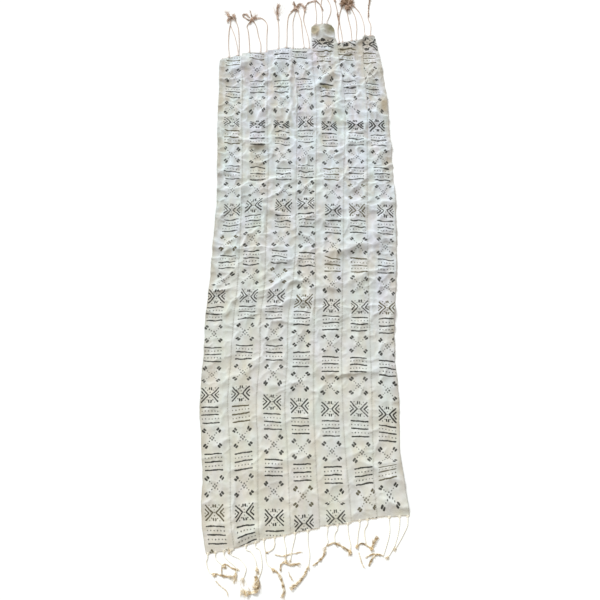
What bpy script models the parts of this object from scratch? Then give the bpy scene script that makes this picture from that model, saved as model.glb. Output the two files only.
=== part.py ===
"""Bogolan mud cloth laid out on a floor, with its folds and its knotted fringe.

Seven hand-woven cotton strips are sewn edge to edge, and the warp of each strip
runs out at both ends as twisted strands that end in knots.
Units are metres, +Z is up, the strips run along Y and rest on z = 0.
"""

from collections import namedtuple
from math import exp, hypot, sqrt

import bmesh
import bpy
from mathutils import Vector

OBJECT_NAME = "bogolan_mud_cloth"

# Driving dimensions
STRIP_COUNT = 7
CLOTH_THICKNESS = 0.002
SEAM_GAP = 0.0004
STRIP_COLUMNS = 4
ROW_STEP_CRUMPLED = 0.027
ROW_STEP_SMOOTH = 0.040
CRUMPLED_FROM = -0.10
FLAT_BELOW = 0.0012
FOLD_BLEND = 3.0

BACKING_DEPTH = 0.007
STRAND_WIDTH = 0.0045
STRAND_HEIGHT = 0.0035
STRAND_STEP = 0.026
KNOT_HEIGHT_SHARE = 0.6
STRAND_SETTLES_IN = 0.03

# The knotted last reach of a strand: share of its length, and share of the knot's width
Swelling = namedtuple("Swelling", "share width")
KNOTTED_END = (Swelling(0.3, 0.0), Swelling(0.5, 1.0), Swelling(0.75, 0.9), Swelling(1.0, 0.3))

# The middle of the floor outline in the layout's own x and y, which becomes the origin
LAYOUT_MIDDLE = Vector((0.0095, 0.2045, 0.0))

# Where the outer edges and the six seams run, from the near end to the far end
Section = namedtuple("Section", "along left seam_1 seam_2 seam_3 seam_4 seam_5 seam_6 right")
SECTIONS = (
    Section(-0.83, -0.296, -0.205, -0.124, -0.028, 0.064, 0.165, 0.252, 0.352),
    Section(-0.72, -0.317, -0.222, -0.134, -0.032, 0.062, 0.164, 0.248, 0.352),
    Section(-0.60, -0.320, -0.228, -0.138, -0.038, 0.055, 0.156, 0.240, 0.338),
    Section(-0.50, -0.328, -0.233, -0.140, -0.043, 0.050, 0.149, 0.242, 0.332),
    Section(-0.36, -0.341, -0.246, -0.149, -0.052, 0.046, 0.145, 0.244, 0.336),
    Section(-0.20, -0.336, -0.240, -0.140, -0.044, 0.048, 0.144, 0.246, 0.330),
    Section(-0.06, -0.337, -0.236, -0.141, -0.042, 0.051, 0.150, 0.247, 0.334),
    Section(0.04, -0.329, -0.227, -0.130, -0.028, 0.055, 0.153, 0.247, 0.345),
    Section(0.20, -0.324, -0.224, -0.127, -0.017, 0.057, 0.160, 0.249, 0.356),
    Section(0.37, -0.317, -0.222, -0.124, -0.016, 0.058, 0.164, 0.255, 0.360),
    Section(0.54, -0.322, -0.224, -0.123, -0.014, 0.062, 0.170, 0.260, 0.358),
    Section(0.74, -0.328, -0.232, -0.131, -0.012, 0.066, 0.180, 0.268, 0.351),
    Section(0.88, -0.330, -0.234, -0.133, -0.013, 0.062, 0.178, 0.268, 0.348),
    Section(1.04, -0.333, -0.240, -0.133, -0.036, 0.050, 0.160, 0.262, 0.330),
    Section(1.23, -0.333, -0.240, -0.133, -0.036, 0.050, 0.154, 0.262, 0.300),
)

# The cut ends of each strip, and the radius of its far corners, 0 where they are square
Ends = namedtuple("Ends", "near_left near_right far_left far_right far_corner")
STRIP_ENDS = (
    Ends(-0.824, -0.812, 1.030, 1.042, 0.012),
    Ends(-0.808, -0.788, 1.050, 1.060, 0.0),
    Ends(-0.784, -0.768, 1.068, 1.084, 0.0),
    Ends(-0.766, -0.750, 1.078, 1.078, 0.0),
    Ends(-0.744, -0.736, 1.206, 1.200, 0.024),
    Ends(-0.730, -0.720, 1.106, 1.124, 0.0),
    Ends(-0.718, -0.713, 1.140, 1.146, 0.008),
)
CORNER_ROWS = (0.0, 0.5, 0.85)

# Each fold is a soft ridge along a line on the floor
Fold = namedtuple("Fold", "x_from y_from x_to y_to height half_width")
FOLDS = (
    Fold(-0.28, 0.97, -0.16, 1.05, 0.012, 0.055),
    Fold(-0.14, 0.92, -0.07, 1.06, 0.011, 0.026),
    Fold(-0.04, 1.03, -0.04, 0.70, 0.007, 0.028),
    Fold(0.14, 0.97, 0.06, 0.90, 0.012, 0.026),
    Fold(0.14, 0.97, 0.23, 0.92, 0.011, 0.026),
    Fold(0.05, 1.05, 0.12, 0.99, 0.0085, 0.022),
    Fold(0.15, 1.02, 0.24, 1.07, 0.0095, 0.024),
    Fold(0.10, 1.20, 0.10, 1.14, 0.0085, 0.040),
    Fold(0.28, 1.12, 0.31, 1.08, 0.007, 0.026),
    Fold(0.23, 0.89, 0.28, 0.83, 0.0085, 0.022),
    Fold(0.26, 0.77, 0.35, 0.76, 0.0085, 0.022),
    Fold(-0.28, 0.84, -0.21, 0.79, 0.006, 0.030),
    Fold(-0.13, 0.83, -0.17, 0.74, 0.011, 0.022),
    Fold(0.05, 0.78, 0.17, 0.79, 0.006, 0.030),
    Fold(-0.09, 0.70, 0.00, 0.62, 0.0095, 0.024),
    Fold(-0.24, 0.65, -0.13, 0.62, 0.011, 0.022),
    Fold(-0.20, 0.59, -0.15, 0.51, 0.0095, 0.022),
    Fold(0.16, 0.60, 0.21, 0.67, 0.008, 0.022),
    Fold(0.19, 0.59, 0.17, 0.49, 0.009, 0.020),
    Fold(0.30, 0.61, 0.36, 0.65, 0.0085, 0.020),
    Fold(0.28, 0.51, 0.36, 0.54, 0.0085, 0.020),
    Fold(-0.32, 0.52, -0.24, 0.49, 0.007, 0.022),
    Fold(-0.15, 0.46, -0.03, 0.50, 0.0095, 0.022),
    Fold(-0.28, 0.43, -0.18, 0.44, 0.0085, 0.020),
    Fold(-0.12, 0.40, 0.00, 0.44, 0.0085, 0.024),
    Fold(0.01, 0.44, 0.08, 0.48, 0.0085, 0.022),
    Fold(0.09, 0.42, 0.11, 0.36, 0.011, 0.034),
    Fold(0.19, 0.43, 0.26, 0.49, 0.0095, 0.026),
    Fold(0.24, 0.37, 0.35, 0.38, 0.0095, 0.020),
    Fold(-0.15, 0.38, -0.08, 0.33, 0.011, 0.022),
    Fold(0.17, 0.36, 0.20, 0.28, 0.007, 0.026),
    Fold(-0.22, 0.21, -0.16, 0.28, 0.010, 0.020),
    Fold(-0.33, 0.20, -0.06, 0.20, 0.0085, 0.020),
    Fold(0.12, 0.18, 0.25, 0.21, 0.012, 0.024),
    Fold(0.27, 0.26, 0.34, 0.23, 0.0085, 0.022),
    Fold(0.18, 0.07, 0.30, 0.12, 0.0095, 0.022),
    Fold(0.07, 0.09, 0.13, 0.03, 0.009, 0.020),
    Fold(-0.15, 0.03, -0.05, 0.08, 0.012, 0.022),
    Fold(-0.05, 0.08, 0.02, 0.08, 0.0085, 0.020),
    Fold(-0.32, 0.04, -0.25, 0.04, 0.008, 0.020),
    Fold(-0.14, -0.04, 0.04, 0.01, 0.007, 0.020),
    Fold(0.14, -0.03, 0.28, -0.02, 0.007, 0.020),
    Fold(-0.09, -0.07, 0.01, -0.10, 0.006, 0.022),
    Fold(0.30, -0.07, 0.33, -0.14, 0.008, 0.022),
    Fold(-0.01, -0.12, 0.00, -0.21, 0.0065, 0.028),
    Fold(0.08, -0.27, 0.28, -0.26, 0.008, 0.022),
    Fold(-0.27, -0.30, -0.19, -0.25, 0.006, 0.030),
    Fold(-0.10, -0.31, 0.03, -0.29, 0.006, 0.030),
    Fold(-0.31, -0.38, -0.25, -0.36, 0.0055, 0.032),
    Fold(-0.29, -0.50, -0.24, -0.48, 0.0055, 0.032),
    Fold(-0.12, -0.57, 0.05, -0.52, 0.0055, 0.034),
    Fold(0.16, -0.53, 0.24, -0.51, 0.0065, 0.030),
    Fold(0.21, -0.55, 0.34, -0.62, 0.009, 0.028),
    Fold(-0.22, -0.60, -0.21, -0.78, 0.005, 0.030),
    Fold(-0.04, -0.60, -0.03, -0.74, 0.005, 0.030),
    Fold(0.26, -0.66, 0.34, -0.69, 0.008, 0.026),
    Fold(-0.20, -0.80, -0.14, -0.75, 0.007, 0.022),
)

# Each strand: its strip, its place across it, two points that it bends through, and its knotted end
Strand = namedtuple("Strand", "strip across mid_x mid_y bend_x bend_y end_x end_y end_width")
FAR_STRANDS = (
    Strand(1, 0.41, -0.300, 1.120, -0.300, 1.220, -0.305, 1.280, 0.014),
    Strand(1, 0.83, -0.260, 1.135, -0.265, 1.215, -0.275, 1.260, 0.010),
    Strand(2, 0.28, -0.220, 1.145, -0.220, 1.210, -0.240, 1.265, 0.012),
    Strand(2, 0.71, -0.175, 1.145, -0.195, 1.220, -0.205, 1.280, 0.012),
    Strand(2, 0.94, -0.140, 1.180, -0.155, 1.230, -0.180, 1.250, 0.007),
    Strand(3, 0.45, -0.090, 1.180, -0.095, 1.250, -0.095, 1.315, 0.011),
    Strand(3, 0.80, -0.060, 1.190, -0.035, 1.265, -0.025, 1.325, 0.011),
    Strand(4, 0.09, -0.030, 1.170, -0.020, 1.240, -0.005, 1.290, 0.007),
    Strand(4, 0.62, 0.010, 1.180, 0.000, 1.250, 0.015, 1.320, 0.009),
    Strand(4, 0.88, 0.030, 1.185, 0.020, 1.245, 0.035, 1.305, 0.007),
    Strand(5, 0.21, 0.075, 1.255, 0.065, 1.305, 0.070, 1.355, 0.009),
    Strand(5, 0.46, 0.100, 1.260, 0.090, 1.310, 0.095, 1.360, 0.008),
    Strand(5, 0.67, 0.125, 1.265, 0.130, 1.305, 0.115, 1.355, 0.007),
    Strand(6, 0.06, 0.160, 1.180, 0.160, 1.250, 0.150, 1.330, 0.010),
    Strand(6, 0.20, 0.180, 1.175, 0.180, 1.240, 0.170, 1.320, 0.008),
    Strand(6, 0.57, 0.215, 1.180, 0.205, 1.270, 0.195, 1.350, 0.016),
    Strand(6, 0.75, 0.240, 1.185, 0.230, 1.265, 0.220, 1.345, 0.012),
    Strand(7, 0.19, 0.270, 1.185, 0.255, 1.260, 0.245, 1.330, 0.009),
    Strand(7, 0.67, 0.300, 1.205, 0.295, 1.255, 0.305, 1.355, 0.009),
)
NEAR_STRANDS = (
    Strand(1, 0.06, -0.295, -0.850, -0.275, -0.880, -0.235, -0.890, 0.010),
    Strand(1, 0.28, -0.260, -0.845, -0.240, -0.860, -0.210, -0.875, 0.009),
    Strand(1, 0.65, -0.200, -0.850, -0.190, -0.895, -0.215, -0.950, 0.008),
    Strand(1, 0.90, -0.180, -0.850, -0.170, -0.890, -0.180, -0.935, 0.012),
    Strand(2, 0.47, -0.160, -0.840, -0.155, -0.890, -0.155, -0.945, 0.016),
    Strand(2, 0.84, -0.125, -0.845, -0.135, -0.890, -0.130, -0.940, 0.013),
    Strand(3, 0.14, -0.110, -0.820, -0.090, -0.860, -0.055, -0.950, 0.010),
    Strand(3, 0.48, -0.080, -0.795, -0.085, -0.810, -0.095, -0.820, 0.005),
    Strand(3, 0.79, -0.045, -0.810, -0.045, -0.840, -0.040, -0.875, 0.009),
    Strand(4, 0.14, -0.015, -0.810, -0.015, -0.845, -0.015, -0.880, 0.008),
    Strand(4, 0.59, 0.025, -0.815, 0.025, -0.865, -0.025, -0.930, 0.012),
    Strand(5, 0.24, 0.090, -0.770, 0.080, -0.805, 0.045, -0.850, 0.010),
    Strand(5, 0.55, 0.110, -0.770, 0.110, -0.795, 0.145, -0.810, 0.010),
    Strand(5, 0.88, 0.150, -0.770, 0.165, -0.800, 0.155, -0.830, 0.008),
    Strand(6, 0.31, 0.190, -0.765, 0.185, -0.805, 0.200, -0.865, 0.009),
    Strand(6, 0.61, 0.205, -0.760, 0.215, -0.805, 0.250, -0.770, 0.010),
    Strand(7, 0.36, 0.280, -0.770, 0.265, -0.830, 0.220, -0.855, 0.011),
    Strand(7, 0.68, 0.320, -0.755, 0.305, -0.810, 0.285, -0.845, 0.007),
    Strand(7, 0.93, 0.345, -0.755, 0.330, -0.800, 0.315, -0.835, 0.007),
)

CLOTH_COLOR = (0.72, 0.70, 0.65, 1.0)
CORD_COLOR = (0.74, 0.68, 0.58, 1.0)
COTTON_ROUGHNESS = 0.9


def eased(share):
    """0 to 1 with a level start and end."""
    share = min(max(share, 0.0), 1.0)
    return share * share * (3.0 - 2.0 * share)


def edge_slope(line, index):
    """Direction of an edge line at one section, from the sections on both sides of it."""
    before = SECTIONS[max(index - 1, 0)]
    after = SECTIONS[min(index + 1, len(SECTIONS) - 1)]
    return (after[1 + line] - before[1 + line]) / (after.along - before.along)


def edge_at(line, y):
    """x of an edge line, 0 for the left edge to 7 for the right one, on a smooth curve along the cloth."""
    index = 0
    while index < len(SECTIONS) - 2 and y > SECTIONS[index + 1].along:
        index += 1
    near, far = SECTIONS[index], SECTIONS[index + 1]
    span = far.along - near.along
    share = (y - near.along) / span
    rest = 1.0 - share
    return (
        near[1 + line] * rest * rest * (1.0 + 2.0 * share)
        + far[1 + line] * share * share * (1.0 + 2.0 * rest)
        + edge_slope(line, index) * span * share * rest * rest
        - edge_slope(line, index + 1) * span * share * share * rest
    )


def distance_to_line(x, y, fold):
    """Distance on the floor from a point to a fold's crest line."""
    run_x = fold.x_to - fold.x_from
    run_y = fold.y_to - fold.y_from
    share = ((x - fold.x_from) * run_x + (y - fold.y_from) * run_y) / (run_x**2 + run_y**2)
    share = min(max(share, 0.0), 1.0)
    return hypot(x - fold.x_from - share * run_x, y - fold.y_from - share * run_y)


def cloth_height(x, y):
    """Height of the cloth's underside: the folds blended, and exactly 0 between them."""
    total = 0.0
    for fold in FOLDS:
        rise = fold.height * exp(-((distance_to_line(x, y, fold) / fold.half_width) ** 2))
        total += rise**FOLD_BLEND
    return max(total ** (1.0 / FOLD_BLEND) - FLAT_BELOW, 0.0)


def corner_inset(from_end, radius):
    """How far a round corner draws the side in, at a distance from the strip's end."""
    if from_end >= radius:
        return 0.0
    return radius - sqrt(radius**2 - (radius - from_end) ** 2)


def strip_rows(ends):
    """y of each row between a strip's cut ends. Neighbours share them, so their seam edges stay parallel."""
    near = max(ends.near_left, ends.near_right)
    far = min(ends.far_left, ends.far_right) - ends.far_corner
    rows = []
    y = SECTIONS[0].along
    while y < far - ROW_STEP_CRUMPLED / 3:
        if y > near + ROW_STEP_SMOOTH / 4:
            rows.append(y)
        y += ROW_STEP_SMOOTH if y < CRUMPLED_FROM else ROW_STEP_CRUMPLED
    if ends.far_corner > 0.0:
        rows += [far + share * ends.far_corner for share in CORNER_ROWS]
    return rows


def slanted(left, right, across):
    """A strip's cut end, part way across."""
    return left + across * (right - left)


def strip_point(strip, across, y, inset=0.0):
    """The layout point of a strip, 0 to 1 across it, with its share of the seam gaps."""
    left = edge_at(strip - 1, y) + SEAM_GAP / 2 + inset
    right = edge_at(strip, y) - SEAM_GAP / 2 - inset
    return Vector((left + across * (right - left), y, cloth_height(left + across * (right - left), y)))


def thicken_upward(plan):
    """Turns a flat-drawn sheet into a closed body whose walls stand upright."""
    thickness = plan.verts.layers.float["thickness"]
    bmesh.ops.triangulate(plan, faces=plan.faces[:], quad_method="SHORT_EDGE")
    raised = bmesh.ops.extrude_face_region(plan, geom=plan.faces[:])
    for item in raised["geom"]:
        if isinstance(item, bmesh.types.BMVert):
            item.co.z += item[thickness]
    bmesh.ops.recalc_face_normals(plan, faces=plan.faces[:])


def grid_plan(columns, rows, place, thickness):
    """A grid whose points are placed by their column and row."""
    plan = bmesh.new()
    layer = plan.verts.layers.float.new("thickness")
    bmesh.ops.create_grid(plan, x_segments=columns, y_segments=rows, size=0.5)
    for vert in plan.verts:
        column = round((vert.co.x + 0.5) * columns)
        row = round((vert.co.y + 0.5) * rows)
        vert.co = place(column, row)
        vert[layer] = thickness
    return plan


def strip_plan(strip):
    """One woven strip from its near end to its far end."""
    ends = STRIP_ENDS[strip - 1]
    rows = strip_rows(ends)
    last = len(rows) + 1

    def place(column, row):
        across = column / STRIP_COLUMNS
        if row == 0:
            return strip_point(strip, across, slanted(ends.near_left, ends.near_right, across))
        if row == last:
            return strip_point(strip, across, slanted(ends.far_left, ends.far_right, across), ends.far_corner)
        y = rows[row - 1]
        from_end = min(ends.far_left, ends.far_right) - y
        return strip_point(strip, across, y, corner_inset(from_end, ends.far_corner))

    return grid_plan(STRIP_COLUMNS, last, place, CLOTH_THICKNESS)


def end_line(strip, far):
    """Near or far cut end of a strip: its slanted y across the strip, and its inset."""
    ends = STRIP_ENDS[strip - 1]
    if far:
        return ends.far_left, ends.far_right, ends.far_corner
    return ends.near_left, ends.near_right, 0.0


def strands_on(strip, strands):
    """The strands of one strip, left to right."""
    return sorted((strand for strand in strands if strand.strip == strip), key=lambda strand: strand.across)


def curve_point(start, start_pull, end_pull, end, share):
    """A point on a cubic curve between two ends."""
    rest = 1.0 - share
    return (
        start * rest**3
        + start_pull * (3 * rest * rest * share)
        + end_pull * (3 * rest * share * share)
        + end * share**3
    )


def strand_path(root, outward, strand):
    """Centre points and widths of one strand, from its root to its knotted end."""
    mid = Vector((strand.mid_x, strand.mid_y, 0.0))
    bend = Vector((strand.bend_x, strand.bend_y, 0.0))
    end = Vector((strand.end_x, strand.end_y, 0.0))
    stops = (root, mid, bend, end)
    headings = (outward, (bend - root).normalized(), (end - mid).normalized(), (end - bend).normalized())
    points = []
    for reach in range(len(stops) - 1):
        start, stop = stops[reach], stops[reach + 1]
        length = (stop - start).length
        steps = max(round(length / STRAND_STEP), 1)
        profile = [Swelling((step + 1) / steps, 0.0) for step in range(steps)]
        if stop is end:
            profile = KNOTTED_END
        start_pull = start + headings[reach] * length / 3
        stop_pull = stop - headings[reach + 1] * length / 3
        for share, swell in profile:
            width = STRAND_WIDTH + swell * (strand.end_width - STRAND_WIDTH)
            points.append((curve_point(start, start_pull, stop_pull, stop, share), width))
    return points


def side_of(points, index):
    """Unit vector across a path at one of its points."""
    before = points[max(index - 1, 0)][0]
    after = points[min(index + 1, len(points) - 1)][0]
    along = after - before
    return Vector((-along.y, along.x, 0.0)).normalized()


def grow_strand(plan, layer, edge, root, path):
    """Extrudes a strand from an edge of the backing, point by point."""
    points = [(root, STRAND_WIDTH)] + path
    travelled = 0.0
    start_height = root.z
    for index in range(1, len(points)):
        centre, width = points[index]
        travelled += (centre - points[index - 1][0]).length
        side = side_of(points, index)
        grown = bmesh.ops.extrude_edge_only(plan, edges=[edge])["geom"]
        new_verts = [item for item in grown if isinstance(item, bmesh.types.BMVert)]
        edge = next(item for item in grown if isinstance(item, bmesh.types.BMEdge))
        old_middle = sum((vert.co for vert in new_verts), Vector()) / 2
        old_side = new_verts[0].co - old_middle
        if old_side.dot(side) < 0:
            side = -side
        height = start_height * (1.0 - eased(travelled / STRAND_SETTLES_IN))
        swell = (width - STRAND_WIDTH) * KNOT_HEIGHT_SHARE
        for vert, sign in zip(new_verts, (1.0, -1.0)):
            vert.co = centre + side * (sign * width / 2)
            vert.co.z = height
            vert[layer] = STRAND_HEIGHT + swell


def fringe_plan(strip, far):
    """The backing along one strip's end, with its strands."""
    left, right, inset = end_line(strip, far)
    outward = Vector((0.0, 1.0 if far else -1.0, 0.0))
    strands = strands_on(strip, FAR_STRANDS if far else NEAR_STRANDS)
    span = edge_at(strip, left) - edge_at(strip - 1, left) - SEAM_GAP - 2 * inset
    half = STRAND_WIDTH / 2 / span
    cuts = [0.0]
    for strand in strands:
        cuts += [strand.across - half, strand.across + half]
    cuts.append(1.0)

    def place(column, row):
        across = cuts[column]
        parted = SEAM_GAP + row * BACKING_DEPTH
        return strip_point(strip, across, slanted(left, right, across) + outward.y * parted, inset)

    plan = grid_plan(len(cuts) - 1, 1, place, CLOTH_THICKNESS)
    layer = plan.verts.layers.float["thickness"]
    for number, strand in enumerate(strands):
        corners = [place(2 * number + 1, 1), place(2 * number + 2, 1)]
        root = (corners[0] + corners[1]) / 2
        edge = min(
            (item for item in plan.edges if item.is_boundary),
            key=lambda item: ((item.verts[0].co + item.verts[1].co) / 2 - root).length,
        )
        flat_root = Vector((root.x, root.y, 0.0))
        grow_strand(plan, layer, edge, root, strand_path(flat_root, outward, strand))
    return plan


def cotton(name, color):
    """Plain cotton in one colour."""
    material = bpy.data.materials.new(name)
    material.use_nodes = True
    shader = material.node_tree.nodes["Principled BSDF"]
    shader.inputs["Base Color"].default_value = color
    shader.inputs["Roughness"].default_value = COTTON_ROUGHNESS
    shader.inputs["Metallic"].default_value = 0.0
    return material


def add_piece(name, plan, material, collection, parent):
    """Closes a plan into a solid and adds it as a named object."""
    thicken_upward(plan)
    mesh = bpy.data.meshes.new(name)
    plan.to_mesh(mesh)
    plan.free()
    mesh.materials.append(material)
    mesh.shade_smooth()
    mesh.set_sharp_from_angle(angle=0.9)
    piece = bpy.data.objects.new(name, mesh)
    collection.objects.link(piece)
    piece.parent = parent
    return piece


def build():
    """Strips first, then the fringe at each of their ends."""
    for old in list(bpy.data.objects):
        bpy.data.objects.remove(old, do_unlink=True)
    collection = bpy.data.collections.new(OBJECT_NAME)
    bpy.context.scene.collection.children.link(collection)
    floor_middle = bpy.data.objects.new("cloth_on_floor", None)
    floor_middle.location = -LAYOUT_MIDDLE
    collection.objects.link(floor_middle)
    for strip in range(1, STRIP_COUNT + 1):
        cloth = cotton(f"woven_cotton_{strip}", CLOTH_COLOR)
        add_piece(f"strip_{strip}", strip_plan(strip), cloth, collection, floor_middle)
        for end, far in (("far", True), ("near", False)):
            name = f"{end}_fringe_{strip}"
            cord = cotton(f"twisted_cotton_{end}_{strip}", CORD_COLOR)
            add_piece(name, fringe_plan(strip, far), cord, collection, floor_middle)


build()
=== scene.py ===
# %% [markdown]
# # A bogolan mud cloth laid out on a floor
#
# The real cloth is seven narrow bands, woven by hand on a strip loom and sewn edge to edge.
# A plain white cotton, it is printed with mud dye: chevrons, barred rows of dots, and crosses.
# The warp yarns run on past the weave at both ends, where they are twisted into cords and knotted.
#
# The lesson builds it in that order: outline, folds, strips, seams, print, then the fringe.
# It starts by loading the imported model, whose solids say where everything lies, in metres with Z up.

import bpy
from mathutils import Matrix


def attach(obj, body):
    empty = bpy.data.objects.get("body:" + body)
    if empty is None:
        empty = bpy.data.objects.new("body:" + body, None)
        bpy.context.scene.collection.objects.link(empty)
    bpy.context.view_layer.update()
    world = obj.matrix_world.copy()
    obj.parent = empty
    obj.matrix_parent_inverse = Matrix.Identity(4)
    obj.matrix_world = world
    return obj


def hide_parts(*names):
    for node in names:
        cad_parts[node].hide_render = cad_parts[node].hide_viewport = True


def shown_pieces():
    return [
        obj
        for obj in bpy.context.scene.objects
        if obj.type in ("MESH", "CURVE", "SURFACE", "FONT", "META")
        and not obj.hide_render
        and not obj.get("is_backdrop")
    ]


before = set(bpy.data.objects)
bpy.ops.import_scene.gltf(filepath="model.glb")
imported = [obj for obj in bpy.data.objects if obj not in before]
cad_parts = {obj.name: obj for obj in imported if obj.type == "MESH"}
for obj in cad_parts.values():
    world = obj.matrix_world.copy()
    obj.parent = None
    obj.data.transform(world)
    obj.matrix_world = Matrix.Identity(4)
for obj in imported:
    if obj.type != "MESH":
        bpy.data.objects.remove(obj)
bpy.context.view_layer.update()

# %% [markdown]
# Only Blender's own modules and NumPy are needed besides. NumPy works on whole grids of points
# at once, so the folds of a hundred thousand points take seconds.

# %% Modules
from collections import namedtuple
from math import pi, radians, sqrt

import bpy
import numpy as np
from mathutils import Vector

scene = bpy.context.scene
print("Blender", bpy.app.version_string)

# %% [markdown]
# The tables are in millimetres and thousandths, which keeps them short. Everything is worked out
# in metres, so two helpers divide the numbers and give the columns their names.

# %% Tables in millimetres
NOT_LENGTHS = ("strip", "across", "tone", "yarns", "strength")


def metres(value):
    """A number divided by 1000, or every number in nested tuples."""
    return tuple(map(metres, value)) if isinstance(value, tuple) else value / 1000


def table(kind, rows):
    """Rows as named tuples in metres. The columns that aren't lengths are kept as they are."""
    made = []
    for row in rows:
        cells = zip(kind._fields, row)
        made.append(kind(*(value if name in NOT_LENGTHS else metres(value) for name, value in cells)))
    return made


print("12 mm in metres:", metres(12))

# %% [markdown]
# ## Camera
#
# The cloth is looked at from a standing person's height, almost straight down, with a phone's
# wide lens. That is why its far end looks narrower. The lens and the tilt were fitted to that
# narrowing: the strips stay one width on the real cloth, so their drawn widths give the distances.

# %% The camera above the near half of the cloth
camera_data = bpy.data.cameras.new("standing_view")
camera_data.sensor_width = 36.0
camera_data.lens = 27.06
camera = bpy.data.objects.new("standing_view", camera_data)
camera.location = (-0.0095, -0.5974, 1.5758)
camera.rotation_euler = (radians(14.0), 0.0, 0.0)
scene.collection.objects.link(camera)
scene.camera = camera
print("camera height, m:", round(camera.location.z, 3))

# %% [markdown]
# ## Floor and light
#
# White cloth on a white floor shows only by its shading. A bright, slightly warm surround fills
# every hollow, and one wide cool lamp brushes over the folds from the far left. Slopes that face
# it turn bluish white, slopes that face away turn tan. Its wide angle keeps the shadows soft.

# %% A pale floor
FLOOR_REACH = 15.0
FLOOR_DROP = 0.0004
SQUARE = ((-1, -1), (1, -1), (1, 1), (-1, 1))

floor_mesh = bpy.data.meshes.new("floor")
corners = [(x * FLOOR_REACH, y * FLOOR_REACH, -FLOOR_DROP) for x, y in SQUARE]
floor_mesh.from_pydata(corners, [], [(0, 1, 2, 3)])
floor = bpy.data.objects.new("floor", floor_mesh)
scene.collection.objects.link(floor)
floor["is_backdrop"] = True

floor_paint = bpy.data.materials.new("pale_floor")
floor_paint.use_nodes = True
floor_shader = floor_paint.node_tree.nodes["Principled BSDF"]
floor_shader.inputs["Base Color"].default_value = (0.93, 0.93, 0.93, 1.0)
floor_shader.inputs["Roughness"].default_value = 0.95
floor_shader.inputs["Specular IOR Level"].default_value = 0.0
floor_mesh.materials.append(floor_paint)
print("floor, m across:", 2 * FLOOR_REACH)

# %% Surround and lamp
surround = bpy.data.worlds.new("studio")
surround.use_nodes = True
background = surround.node_tree.nodes["Background"]
background.inputs["Color"].default_value = (1.0, 0.95, 0.875, 1.0)
background.inputs["Strength"].default_value = 0.60
scene.world = surround

lamp_data = bpy.data.lights.new("far_left_lamp", "SUN")
lamp_data.energy = 3.6
lamp_data.color = (0.88, 0.955, 1.0)
lamp_data.angle = radians(16.0)
lamp = bpy.data.objects.new("far_left_lamp", lamp_data)
lamp.rotation_mode = "QUATERNION"
lamp.rotation_quaternion = Vector((0.38, -0.76, -0.54)).to_track_quat("-Z", "Y")
scene.collection.objects.link(lamp)
scene.view_settings.view_transform = "Standard"
print("lamp energy:", lamp_data.energy)

# %% [markdown]
# ## Where the strips run
#
# Every strip keeps about 100 mm of width on the loom, but laid out and crumpled it is drawn in
# unevenly. So the two outer edges and the six seams between them are eight lines, each given at
# fifteen sections along the cloth and joined by a smooth curve. The table counts from a point
# near the middle of the cloth. LAYOUT_MIDDLE moves it to the frame's own origin at the end.

# %% Edge lines
LAYOUT_MIDDLE = np.array((0.0095, 0.2045, 0.0))
# Columns: along the cloth, left edge, seams 1 to 6, right edge.
SECTIONS = np.array((
    (-830, -296, -205, -124, -28, 64, 165, 252, 352),
    (-720, -317, -222, -134, -32, 62, 164, 248, 352),
    (-600, -320, -228, -138, -38, 55, 156, 240, 338),
    (-500, -328, -233, -140, -43, 50, 149, 242, 332),
    (-360, -341, -246, -149, -52, 46, 145, 244, 336),
    (-200, -336, -240, -140, -44, 48, 144, 246, 330),
    (-60, -337, -236, -141, -42, 51, 150, 247, 334),
    (40, -329, -227, -130, -28, 55, 153, 247, 345),
    (200, -324, -224, -127, -17, 57, 160, 249, 356),
    (370, -317, -222, -124, -16, 58, 164, 255, 360),
    (540, -322, -224, -123, -14, 62, 170, 260, 358),
    (740, -328, -232, -131, -12, 66, 180, 268, 351),
    (880, -330, -234, -133, -13, 62, 178, 268, 348),
    (1040, -333, -240, -133, -36, 50, 160, 262, 330),
    (1230, -333, -240, -133, -36, 50, 154, 262, 300),
)) / 1000
spread = np.pad(SECTIONS, ((1, 1), (0, 0)), mode="edge")
rises = spread[2:] - spread[:-2]
SLOPES = rises[:, 1:] / rises[:, :1]


def edge_line(line, y):
    """x of an edge line, 0 for the left edge to 7 for the right one, at each y."""
    along, across, slopes = SECTIONS[:, 0], SECTIONS[:, 1 + line], SLOPES[:, line]
    index = np.clip(np.searchsorted(along, y) - 1, 0, len(along) - 2)
    span = along[index + 1] - along[index]
    share = (y - along[index]) / span
    rest = 1.0 - share
    level = across[index] * rest**2 * (1 + 2 * share) + across[index + 1] * share**2 * (1 + 2 * rest)
    return level + span * share * rest * (slopes[index] * rest - slopes[index + 1] * share)


half_way = [1000 * float(edge_line(line, 0.2)) for line in range(8)]
print("widths half way, mm:", np.diff(half_way).round())

# %% The cut ends of each strip
SEAM_GAP = 0.0001
Ends = namedtuple("Ends", "near_left near_right far_left far_right far_corner")
STRIP_ENDS = table(Ends, (
    (-824, -812, 1030, 1042, 12),
    (-808, -788, 1050, 1060, 0),
    (-784, -768, 1068, 1084, 0),
    (-766, -750, 1078, 1078, 0),
    (-744, -736, 1206, 1200, 24),
    (-730, -720, 1106, 1124, 0),
    (-718, -713, 1140, 1146, 8),
))
STRIPS = range(1, len(STRIP_ENDS) + 1)
print("strips:", len(STRIPS))

# %% [markdown]
# ## Uneven by hand
#
# Cloth has no exact lines. Gradient noise stands in for the hand: every corner of a grid gets a
# slope in a random direction, and between the corners the slopes are eased into each other. The
# random numbers come from whole-number arithmetic, so every run gives the same cloth.

# %% Repeatable smooth noise
COLUMN_MIX, ROW_MIX, SEED_MIX, BIT_MIX = 73856093, 19349663, 83492791, 1274126177
LOW_BITS = 0xFFFFFFFF


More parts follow.
